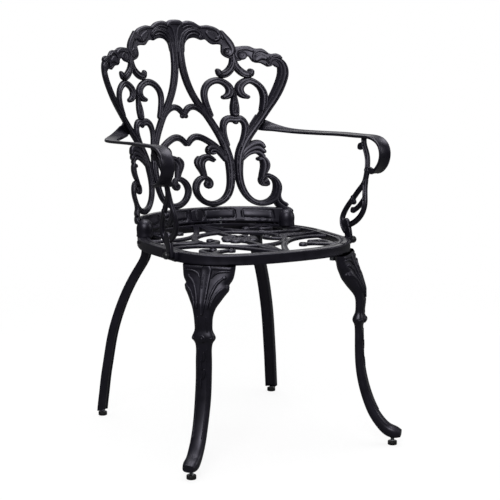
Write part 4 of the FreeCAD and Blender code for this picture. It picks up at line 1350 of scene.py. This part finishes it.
@dataclass
class FrontLeg(Leg):
    """Cabriole leg: leafed knee, collar with a rosette, slim shank, toe turned outwards.

    Args:
        fullness: power that makes its sections fuller than an ellipse; 1 is an ellipse.
    """

    fullness: float = 0.75

    def table(self) -> list[tuple[float, ...]]:
        """Lists the sections.

        Returns:
            Reach, height, tilt, depth and width of each, from top to foot.
        """
        return [
            (-32, 402, 0, 28, 108), (-31, 392, 3, 28.5, 107), (-29, 380, 8, 30, 104),
            (-25, 366, 12, 33, 95), (-21.7, 357.5, 14, 34, 86), (-19.4, 352, 15, 33.6, 89),
            (-15.2, 344, 16, 32.8, 81), (-11.6, 337, 16, 31.6, 71), (-6.8, 328, 14, 29, 60),
            (-2.5, 320, 12, 26, 50), (1.2, 309, 7, 20.5, 42), (2.5, 300, 4, 19, 38),
            (2, 283, 0, 17, 35.5), (1.2, 272, 0, 18.5, 37), (0.6, 263, 0, 25, 45),
            (0.5, 258, 0, 25.5, 47), (0.3, 250, 0, 18.5, 37), (0.3, 244, 0, 16.5, 33),
            (0.8, 220, 0, 16, 32), (1.5, 190, 2, 16.5, 32), (3.5, 165, 6, 17.5, 32),
            (7.5, 140, 12, 18.5, 32), (14, 114, 18, 19.5, 31), (23, 88, 23, 20.5, 30),
            (35, 63, 30, 21.5, 30), (49, 44, 44, 22.5, 30), (64, 31, 62, 24.5, 30),
            (80, 26, 80, 22.5, 29), (90, 24.5, 86, 14.5, 23),
        ]

    def section(self) -> list[Flat]:
        """Draws a full oval with a soft arris along the middle of each side.

        Returns:
            Its points as shares of the half depth and the half width.
        """
        points = []
        sides = 28
        for i in range(sides):
            angle = math.tau * i / sides
            c = math.copysign(abs(math.cos(angle)) ** self.fullness, math.cos(angle))
            s = math.copysign(abs(math.sin(angle)) ** self.fullness, math.sin(angle))
            points.append((c, s))
        return points

    def face(self, side: float, z: float, height: float) -> Vector:
        """Puts a point on the leg's outer face.

        Args:
            side: millimetres across.
            z: height of the section that carries the point.
            height: millimetres in front of the face.

        Returns:
            The point in the frame.
        """
        low, high = self.stations.keys[0], self.stations.keys[-1]
        halvings = 26
        widest = 0.995
        for _ in range(halvings):
            middle = (low + high) / 2
            if self.stations.at(middle)[1] > z:
                low = middle
            else:
                high = middle
        row = self.stations.at(low)
        share = min(widest, abs(side) / (row[4] / 2))
        sine = share ** (1 / self.fullness)
        deep = (1 - sine ** 2) ** (self.fullness / 2) * row[3] / 2
        return self.blade_point(row, deep + height, side)

    def relief(self) -> list[Band | Knob]:
        """Draws the acanthus on the knee, rosette on the collar and buds down the shank.

        Returns:
            Their bands and knobs.
        """
        shapes: list[Band | Knob] = [
            Band(((-46, 390), (-24, 390), (0, 390), (24, 390), (46, 390)),
                 (8, 9, 9, 9, 8), RIB, 1.4),
            Band(((0, 385), (0, 370), (0, 352), (0, 334), (0, 318), (0, 306)),
                 (25, 22, 20, 17, 12, 6), TONGUE, 3.4),
            Knob((0, 259), 8.0, 6.0, 3.8, SCROLL_EYE),
        ]
        ribs = (
            (((12, 371), (16, 377), (23, 381.5), (33, 384), (44, 384.5)), (4, 5, 5.5, 5.5, 4), 2.9),
            (((11, 316), (13.5, 332), (18.5, 348), (26, 362), (36, 371.5)),
             (4, 5.5, 6.5, 6.5, 5), 2.9),
            (((16, 316), (20, 330), (27, 342), (36, 350.5), (42, 355)), (4, 5.5, 6, 6, 4.5), 2.9),
            (((3.4, 376), (4.6, 364), (3.6, 350)), (3.4, 3.8, 3.4), 4.4),
            (((9, 300), (9.5, 286), (10, 272)), (4, 4.5, 4), 1.3),
            (((9.5, 238), (10, 190), (10.5, 140), (10, 100), (9, 66)), (3.5, 4, 4, 4, 3), 1.2),
        )
        balls = ((37, 372.5, 4.6, 7.0, 3.8), (41, 355.5, 4.6, 7.0, 3.6),
                 (19.5, 258.5, 4.0, 5.0, 1.8))
        for side in (-1, 1):
            for line, widths, lift in ribs:
                shapes.append(Band(tuple((side * x, z) for x, z in line), widths, RIB, lift))
            for x, z, radius, thickness, lift in balls:
                shapes.append(Knob((side * x, z), radius, thickness, lift))
        for x, z, size in ((-2.5, 222, 6.5), (3, 206, 5.5), (-3, 188, 6.5), (2.5, 170, 5.0)):
            shapes.append(Band(((x, z + 9), (x * 1.2, z), (x * 0.4, z - 8)),
                               (size * 0.7, size, size * 0.6), RIB, 2.4))
        return shapes

    def fill(self, piece: Piece) -> None:
        """Adds the blade with its relief, the flange, and the rib that stiffens it.

        Args:
            piece: the leg's piece.
        """
        piece.sweep(self.rings(step=3.2))
        piece.add(self.relief(), self.face)
        self.flange(piece, inner=-66, outer=-26, half=32)
        outline = [(-60, 392), (-20, 392), (-8, 333), (-20, 335), (-38, 359)]
        rib_thickness = 9.0
        rib = [self.plan.point(reach, -rib_thickness / 2, z) for reach, z in outline]
        across = self.plan.point(0, rib_thickness, 0) - self.plan.point(0, 0, 0)
        piece.block(rib, across, 1.0)


@dataclass
class RearLeg(Leg):
    """Sabre leg: short upright stub, then a long curve down and outwards.

    Args:
        depth: its size along its plane.
        width: its size across.
    """

    depth: float = 17.0
    width: float = 25.0

    def table(self) -> list[tuple[float, ...]]:
        """Lists the sections; depth and width are the same all along.

        Returns:
            Reach, height, tilt, depth and width of each, from top to foot.
        """
        run = [
            (-36, 400, 0), (-36, 375, 2), (-33, 358, 16), (-25, 342, 28), (-15, 326, 32),
            (0, 300, 28), (15.5, 268, 25), (28.5, 235, 21), (39, 203, 16), (47, 170, 11),
            (54.5, 128, 8.5), (61, 90, 8), (66, 52, 7.5), (71, 12, 7), (71.5, 6, 7),
        ]
        return [row + (self.depth, self.width) for row in run]

    def section(self) -> list[Flat]:
        """Draws a bar with soft corners and a shallow channel along each broad face.

        Returns:
            Its points as shares of the half depth and the half width.
        """
        face = [(0.7, 0.0), (0.7, 0.48), (0.8, 0.58), (1.0, 0.66), (1.0, 0.86), (0.93, 0.96),
                (0.8, 1.0), (0.0, 1.0)]
        right = face + mirrored(face[:-1])
        left = [(a, -b) for a, b in reversed(right[1:-1])]
        return right + left

    def fill(self, piece: Piece) -> None:
        """Adds the blade and the flange."""
        piece.sweep(self.rings(step=6.0))
        self.flange(piece, inner=-58, outer=-28, half=34)


# Arms

@dataclass
class Arm:
    """Arm casting: a flat strip that curls at the front, on an openwork scroll.

    Args:
        side: the sitter's side.
        width: the strip's width.
        outside: the strip's outer edge, across from the middle of the chair.
        lug_face: the lug's inner face, across from the middle of the chair.
        hinge: height at which the scroll begins to lean outwards.
        lean: the scroll's lean.
        support_thickness: thickness of the scroll and the lug.
        tab_middle: middle of the rear tab, on the back's front elevation.
        tab_run: two points of the stile there, which the tab lies across.
        tab_length: the tab's length along the strip.
        tab_thickness: the tab's thickness.
        paint: gap of paint between the tab and the stile.
    """

    side: Side
    width: float = 27.0
    outside: float = 255.5
    lug_face: float = 201.0
    hinge: float = 437.0
    lean: float = math.radians(10.5)
    support_thickness: float = 8.0
    tab_middle: Flat = (156.0, 634.0)
    tab_run: tuple[Flat, Flat] = ((147.0, 620.0), (160.0, 640.0))
    tab_length: float = 24.0
    tab_thickness: float = 5.9
    paint: float = 0.05

    def edges(self) -> list[tuple[tuple[float, ...], tuple[float, ...]]]:
        """Lists the two edges of the strip's top surface.

        Returns:
            Outer and inner point of each station, from rear to front.
        """
        turned = [
            ((187, 191, 631), (175, 178, 620.5)), ((206, 176, 624.5), (190, 160, 618.5)),
            ((225, 159, 620.5), (206, 140, 616.5)), ((243, 130, 619), (218.5, 117, 616)),
            ((252.5, 96, 619.5), (226, 90, 616.5)), ((255.5, 55, 621), (228.5, 54, 618)),
        ]
        straight = [
            (-20, 624, 621.5), (-95, 625.5, 623.5), (-132, 625.5, 624), (-156, 620.5, 619),
            (-173, 608, 607), (-179, 592, 591), (-175, 574, 574), (-163, 559, 559),
            (-146, 549, 549), (-134, 546, 546),
        ]
        inside = self.outside - self.width
        return turned + [
            ((self.outside, y, outer), (inside, y, inner)) for y, outer, inner in straight
        ]

    def tab(self) -> tuple[Vector, Vector, Vector, Vector]:
        """Lays the rear tab on the rear face of the stile.

        Returns:
            The tab's middle, the direction of its width, that towards the arm, and that
            away from the stile.
        """
        back = BackCasting()
        behind = -back.thickness
        x, z = self.tab_middle
        step = 0.5
        across = back.place(x + step, z, behind) - back.place(x - step, z, behind)
        upwards = back.place(x, z + step, behind) - back.place(x, z - step, behind)
        normal = upwards.cross(across).normalized()
        low, high = (back.place(*point, behind) for point in self.tab_run)
        wide = (high - low).normalized()
        return back.place(x, z, behind), wide, normal.cross(wide).normalized(), normal

    def strip_rings(self) -> list[Ring]:
        """Draws the strip's section from the tab to the end of the curl.

        Returns:
            The section's points at each station.
        """
        place, wide, along, normal = self.tab()
        overlap = 1.0
        tab_edge = place + along * (self.tab_length / 2 - overlap) * MM
        start = [c / MM for c in tab_edge]
        rows = [tuple(start) + tuple(wide) + tuple(-normal)]
        middles, spans = [], []
        for outer, inner in self.edges():
            a, b = Vector(from_drawing(*outer)), Vector(from_drawing(*inner))
            middles.append((a + b) / 2)
            spans.append((a - b).normalized())
        for i, middle in enumerate(middles):
            run = middles[min(i + 1, len(middles) - 1)] - middles[max(i - 1, 0)]
            facing = run.normalized().cross(spans[i]).normalized()
            rows.append(tuple(c / MM for c in middle) + tuple(spans[i]) + tuple(facing))
        path = SmoothPath(rows, chords([row[:3] for row in rows]))
        half = self.width / 2
        top = [(-half, 2.6), (-half + 0.3, 1.2), (-half + 1.3, 0.3), (-half + 2.6, 0.0),
               (-half + 3.8, 0.25), (-half + 5.0, 0.8)]
        under = [(half, 4.6), (half - 0.8, 5.6), (half - 2.0, 6.0)]
        section = top + [(0.0, 0.55)] + mirrored(top) + under + [(0.0, 5.6)] + mirrored(under)
        rings = []
        for key in path.stations(4.0):
            row = path.at(key)
            centre = Vector(row[:3]) * MM
            wide_here = Vector(row[3:6]).normalized()
            facing = Vector(row[6:9]).normalized()
            rings.append([
                centre + wide_here * across * MM - facing * below * MM
                for across, below in section
            ])
        return rings

    def place(self, y: float, z: float, height: float) -> Vector:
        """Puts a point of the side elevation on the leaning scroll.

        Args:
            y: millimetres to the rear.
            z: millimetres above the floor.
            height: millimetres out from the scroll's outer face.

        Returns:
            The point in the frame.
        """
        out = self.support_thickness + height
        rise = z - self.hinge
        x = self.lug_face + out * math.cos(self.lean) + rise * math.tan(self.lean)
        return from_drawing(x, y, z - out * math.sin(self.lean))

    def scrolls(self) -> list[Band | Knob]:
        """Draws the openwork under the arm's front.

        Returns:
            Its bands, and the balls at their ends.
        """
        return [
            Band(((-103, 618), (-108, 606), (-118, 594), (-128, 580), (-133.5, 563),
                  (-135, 545), (-132, 530), (-120, 516), (-104, 498), (-88, 480), (-77, 464),
                  (-73, 450), (-79, 437), (-92, 428)),
                 (13, 12, 12, 12, 12, 13, 12, 11, 11, 11, 12, 13, 14, 16), ROPE),
            Band(((-136, 536), (-138, 520), (-143, 502), (-147, 485), (-143, 469),
                  (-132, 456), (-117, 446), (-101, 438), (-92, 430)),
                 (11, 11, 12, 12, 12, 12, 12, 12, 14), ROPE),
            Band(((-143, 500), (-132, 486), (-120, 476), (-111, 471)), (10, 10, 10, 11), ROPE),
            Band(((-99, 496), (-103, 491.5), (-107, 487)), (10, 9.5, 9), ROPE),
            Band(((-133, 556), (-143, 557), (-153, 555)), (13, 13, 12), ROPE),
            Band(((-105, 606), (-101, 604), (-97, 602)), (12, 13.5, 15), ROPE),
            Knob((-110, 471), 6.5, 9.0, 0.5),
            Knob((-106, 487), 5.5, 8.8, 0.4),
            Knob((-97, 601), 7.5, 9.0, 0.5),
            Knob((-152, 555), 6.5, 9.0, 0.5),
        ]

    def lug_bands(self) -> list[Band]:
        """Upright plate from the lug bolt to the foot of the scroll."""
        return [Band(((-104, 408), (-100, 422), (-92, 441)), (18, 22, 22), LUG)]

    def lug_place(self, y: float, z: float, height: float) -> Vector:
        """Point of the upright lug; height 0 is its outer face."""
        return from_drawing(self.lug_face + self.support_thickness + height, y, z)

    def build(self) -> bpy.types.Object:
        """Builds the arm on its side of the chair.

        Returns:
            The object.
        """
        piece = Piece(f"arm_{self.side.value}_casting")
        piece.sweep(self.strip_rings())
        piece.add(self.scrolls(), self.place)
        piece.add(self.lug_bands(), self.lug_place)
        place, wide, along, normal = self.tab()
        place += normal * self.paint * MM
        corners = [
            place + along * (a * self.tab_length / 2 * MM) + wide * (b * self.width / 2 * MM)
            for a, b in ((-1, -1), (1, -1), (1, 1), (-1, 1))
        ]
        piece.block(corners, normal * self.tab_thickness * MM, 1.2)
        if self.side is Side.RIGHT:
            piece.mirror(False)
        return piece.finish(Body.CHAIR, "casting_arm", POWDER_COAT, [f"arm_{self.side.value}"])


# Feet and fasteners

@dataclass
class Foot:
    """Levelling foot: a moulded glide on a threaded stud.

    Args:
        plan: the leg that it stands under.
        side: the sitter's side.
        crest: radius of the thread's crests.
        root: radius of its roots.
        pitch: distance between its crests.
        thread_foot: height of the lowest crest.
        thread_top: height above which no crest starts.
        stud_top: height of the stud's upper end, inside the leg.
    """

    plan: LegPlan
    side: Side
    crest: float = 3.99
    root: float = 3.5
    pitch: float = 1.25
    thread_foot: float = 8.1
    thread_top: float = 26.0
    stud_top: float = 27.0

    def node(self, piece: str) -> str:
        """Name of one of the foot's nodes in the frame."""
        return f"{self.plan.name.lower()}_{piece}_{self.side.value}"

    def body(self) -> Body:
        """Body that carries the foot."""
        return Body[f"{self.plan.name}_{self.side.name}_FOOT"]

    def build(self) -> list[bpy.types.Object]:
        """Builds the glide and the stud round the axis of the CAD glide.

        Returns:
            The two objects.
        """
        glide_node = self.node("glide")
        stud_node = self.node("stud")
        low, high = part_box(glide_node)
        axis = Vector(((low.x + high.x) / 2, (low.y + high.y) / 2, 0))
        glide = Piece(glide_node + "_moulding")
        glide.lathe(axis, [
            (0, 0.3), (6.6, 0.3), (7.0, 0), (8.6, 0), (9.2, 0.3), (9.5, 0.9), (9.5, 6.8),
            (9.3, 7.5), (8.8, 7.9), (8.0, 8.0), (0, 8.0),
        ])
        stud = Piece(stud_node + "_rod")
        sunk = 0.2
        foot = self.thread_foot - sunk
        profile = [(0.0, foot), (self.root, foot)]
        height = self.thread_foot
        while height < self.thread_top:
            profile += [(self.crest, height), (self.root, height + 0.6)]
            height += self.pitch
        profile += [(3.2, self.stud_top), (0.0, self.stud_top)]
        stud.lathe(axis, profile, 28)
        return [
            glide.finish(self.body(), "glide", MOULDED_PLASTIC, [glide_node]),
            stud.finish(self.body(), "zinc_stud", BRIGHT_ZINC, [stud_node], 25.0),
        ]


@dataclass
class Fasteners:
    """Bolts, screws and washers, shown as the frame holds them.

    Args:
        nodes: the frame's objects by name.
        finishes: node, material slot and finish of each group.
    """

    nodes: dict[str, bpy.types.Object]
    finishes: tuple[tuple[str, str, Finish], ...] = (
        ("front_leg_bolts", "zinc_bolt", BRIGHT_ZINC),
        ("front_leg_washers", "zinc_washer", BRIGHT_ZINC),
        ("rear_leg_bolts", "zinc_bolt", BRIGHT_ZINC),
        ("rear_leg_washers", "zinc_washer", BRIGHT_ZINC),
        ("arm_seat_bolts", "black_bolt", BLACK_OXIDE),
        ("arm_back_screws", "black_bolt", BLACK_OXIDE),
        ("arm_back_washers", "zinc_washer", BRIGHT_ZINC),
        ("back_seat_bolts", "zinc_bolt", BRIGHT_ZINC),
        ("back_seat_washers", "zinc_washer", BRIGHT_ZINC),
    )

    def build(self) -> list[bpy.types.Object]:
        """Gives each group its finish.

        Returns:
            The dressed objects.
        """
        dressed = []
        for name, slot, finish in self.finishes:
            node = self.nodes[name]
            node.data.materials.clear()
            node.data.materials.append(finish.material())
            LOG.info("%s: CAD node, %s", name, finish.name)
            dressed.append(node)
        return dressed


# Studio

@dataclass(frozen=True)
class SoftLight:
    """Square softbox.

    Args:
        name: the lamp's name.
        place: its position in metres.
        target: the point it faces.
        size: its side in metres.
        power: watts.
    """

    name: str
    place: tuple[float, float, float]
    target: tuple[float, float, float]
    size: float
    power: float

    def build(self) -> bpy.types.Object:
        """Puts the lamp in the scene.

        Returns:
            The lamp.
        """
        data = bpy.data.lights.new(self.name, "AREA")
        data.size = self.size
        data.energy = self.power
        lamp = add_object(self.name, data)
        lamp.location = self.place
        facing = Vector(self.target) - Vector(self.place)
        lamp.rotation_euler = facing.to_track_quat("-Z", "Y").to_euler()
        return lamp


@dataclass
class Studio:
    """White floor, white surroundings, soft lamps and the camera.

    Args:
        azimuth: the camera's heading in radians.
        elevation: how far it looks down, in radians.
        eye: its place in the drawing.
        lens: its focal length in mm.
        sensor: its sensor's width in mm.
        mirrored: share of the white surroundings that glossy surfaces show.
        glow: strength of the floor's own white, a little over 1 to make up for its shadow.
        lift: share of that white in what the camera sees of the floor.
        thrown: share of the light that the floor throws back on the chair.
        ambient: strength of the surroundings' light on the chair.
        sky: that light's linear colour.
        paper_end: where the floor starts and ends to fade, in metres from the middle.
        lights: the softboxes.
    """

    azimuth: float = -0.49332
    elevation: float = 0.16595
    eye: tuple[float, float, float] = (-1325.1, -2513.6, 862.8)
    lens: float = 99.73
    sensor: float = 36.0
    mirrored: float = 0.05
    glow: float = 1.02
    lift: float = 0.86
    thrown: float = 0.12
    ambient: float = 0.07
    sky: tuple[float, float, float, float] = (0.97, 0.98, 1.0, 1.0)
    paper_end: tuple[float, float] = (0.9, 1.8)
    lights: tuple[SoftLight, ...] = (
        SoftLight("key", (-1.7, -2.4, 2.6), (0.0, 0.0, 0.5), 1.5, 80.0),
        SoftLight("fill", (2.8, -1.2, 1.5), (0.0, 0.0, 0.4), 1.3, 14.0),
        SoftLight("top", (0.2, 0.3, 3.2), (0.0, 0.0, 0.3), 2.4, 90.0),
        SoftLight("backdrop", (1.6, 3.2, 0.9), (0.0, 0.0, 0.5), 2.6, 20.0),
    )

    def shown_white(self, tree: bpy.types.NodeTree) -> bpy.types.NodeSocket:
        """Tells how white the surroundings are for a ray.

        Args:
            tree: node tree that gets the nodes.

        Returns:
            1 for the camera and glass, part of it for gloss, 0 for the rest.
        """
        path = add_node(tree, "ShaderNodeLightPath").outputs
        gloss = add_node(tree, "ShaderNodeMath", {
            0: path["Is Glossy Ray"], 1: self.mirrored, 2: path["Is Camera Ray"],
        }, operation="MULTIPLY_ADD")
        whole = add_node(tree, "ShaderNodeMath", {
            0: gloss.outputs["Value"], 1: path["Is Transmission Ray"],
        }, operation="ADD", use_clamp=True)
        return whole.outputs["Value"]

    def paper(self) -> bpy.types.Material:
        """Makes white paper that fades out far from the chair and softens its shadow.

        Returns:
            The material.
        """
        made = STUDIO_PAPER.material()
        tree = made.node_tree
        output = next(n for n in tree.nodes if n.bl_idname == "ShaderNodeOutputMaterial")
        lit = output.inputs["Surface"].links[0].from_socket
        glow = add_node(tree, "ShaderNodeEmission", {
            "Color": srgb("ffffff"), "Strength": self.glow,
        })
        seen = add_node(tree, "ShaderNodeMixShader", {
            0: self.lift, 1: lit, 2: glow.outputs["Emission"],
        })
        dim = add_node(tree, "ShaderNodeBsdfDiffuse", {
            "Color": (self.thrown, self.thrown, self.thrown, 1.0),
        })
        either = add_node(tree, "ShaderNodeMixShader", {
            0: self.shown_white(tree), 1: dim.outputs["BSDF"], 2: seen.outputs["Shader"],
        })
        where = add_node(tree, "ShaderNodeTexCoord").outputs["Object"]
        reach = add_node(tree, "ShaderNodeVectorMath", {0: where}, operation="LENGTH")
        start, end = self.paper_end
        fade = add_node(tree, "ShaderNodeMapRange", {
            "Value": reach.outputs["Value"], "From Min": start, "From Max": end,
            "To Min": 0.0, "To Max": 1.0,
        })
        clear = add_node(tree, "ShaderNodeBsdfTransparent")
        whole = add_node(tree, "ShaderNodeMixShader", {
            0: fade.outputs["Result"], 1: either.outputs["Shader"], 2: clear.outputs["BSDF"],
        })
        tree.links.new(whole.outputs["Shader"], output.inputs["Surface"])
        return made

    def floor(self) -> bpy.types.Object:
        """Lays the white floor, which keeps the chair's shadow.

        Returns:
            The floor.
        """
        mesh = bmesh.new()
        bmesh.ops.create_grid(mesh, x_segments=1, y_segments=1, size=2.0)
        data = bpy.data.meshes.new("studio_floor")
        mesh.to_mesh(data)
        mesh.free()
        data.materials.append(self.paper())
        made = add_object("studio_floor", data)
        return made

    def surroundings(self) -> None:
        """Puts white behind the chair for the camera and a soft light all round."""
        world = bpy.data.worlds.new("studio")
        bpy.context.scene.world = world
        world.use_nodes = True
        tree = world.node_tree
        tree.nodes.clear()
        seen = add_node(tree, "ShaderNodeBackground", {
            "Color": srgb("ffffff"), "Strength": 1.0,
        })
        light = add_node(tree, "ShaderNodeBackground", {
            "Color": self.sky, "Strength": self.ambient,
        })
        mix = add_node(tree, "ShaderNodeMixShader", {
            0: self.shown_white(tree), 1: light.outputs["Background"],
            2: seen.outputs["Background"],
        })
        add_node(tree, "ShaderNodeOutputWorld", {"Surface": mix.outputs["Shader"]})

    def camera(self) -> bpy.types.Object:
        """Puts the camera at the photo's place and angle.

        Returns:
            The camera.
        """
        data = bpy.data.cameras.new("camera")
        data.sensor_width = self.sensor
        data.lens = self.lens
        data.clip_start = 0.1
        data.clip_end = 60.0
        made = add_object("camera", data)
        made.location = from_drawing(*self.eye)
        facing = Vector((
            -math.sin(self.azimuth) * math.cos(self.elevation),
            math.cos(self.azimuth) * math.cos(self.elevation),
            -math.sin(self.elevation),
        ))
        made.rotation_euler = facing.to_track_quat("-Z", "Y").to_euler()
        bpy.context.scene.camera = made
        return made

    def build(self) -> None:
        """Sets up floor, surroundings, lamps and camera."""
        bpy.context.scene.view_settings.view_transform = "Standard"
        self.floor()
        self.surroundings()
        for light in self.lights:
            light.build()
        self.camera()


def main() -> None:
    """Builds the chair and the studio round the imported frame."""
    logging.basicConfig(level=logging.INFO, format="%(message)s")
    for item in list(bpy.data.objects):
        bpy.data.objects.remove(item)
    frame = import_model()
    BackCasting().build()
    SeatCasting().build()
    for side in Side:
        Arm(side).build()
        FrontLeg(LegPlan.FRONT, side).build()
        RearLeg(LegPlan.REAR, side).build()
        for plan in LegPlan:
            Foot(plan, side).build()
    Fasteners(frame["nodes"]).build()
    Studio().build()


if __name__ == "__main__":
    main()
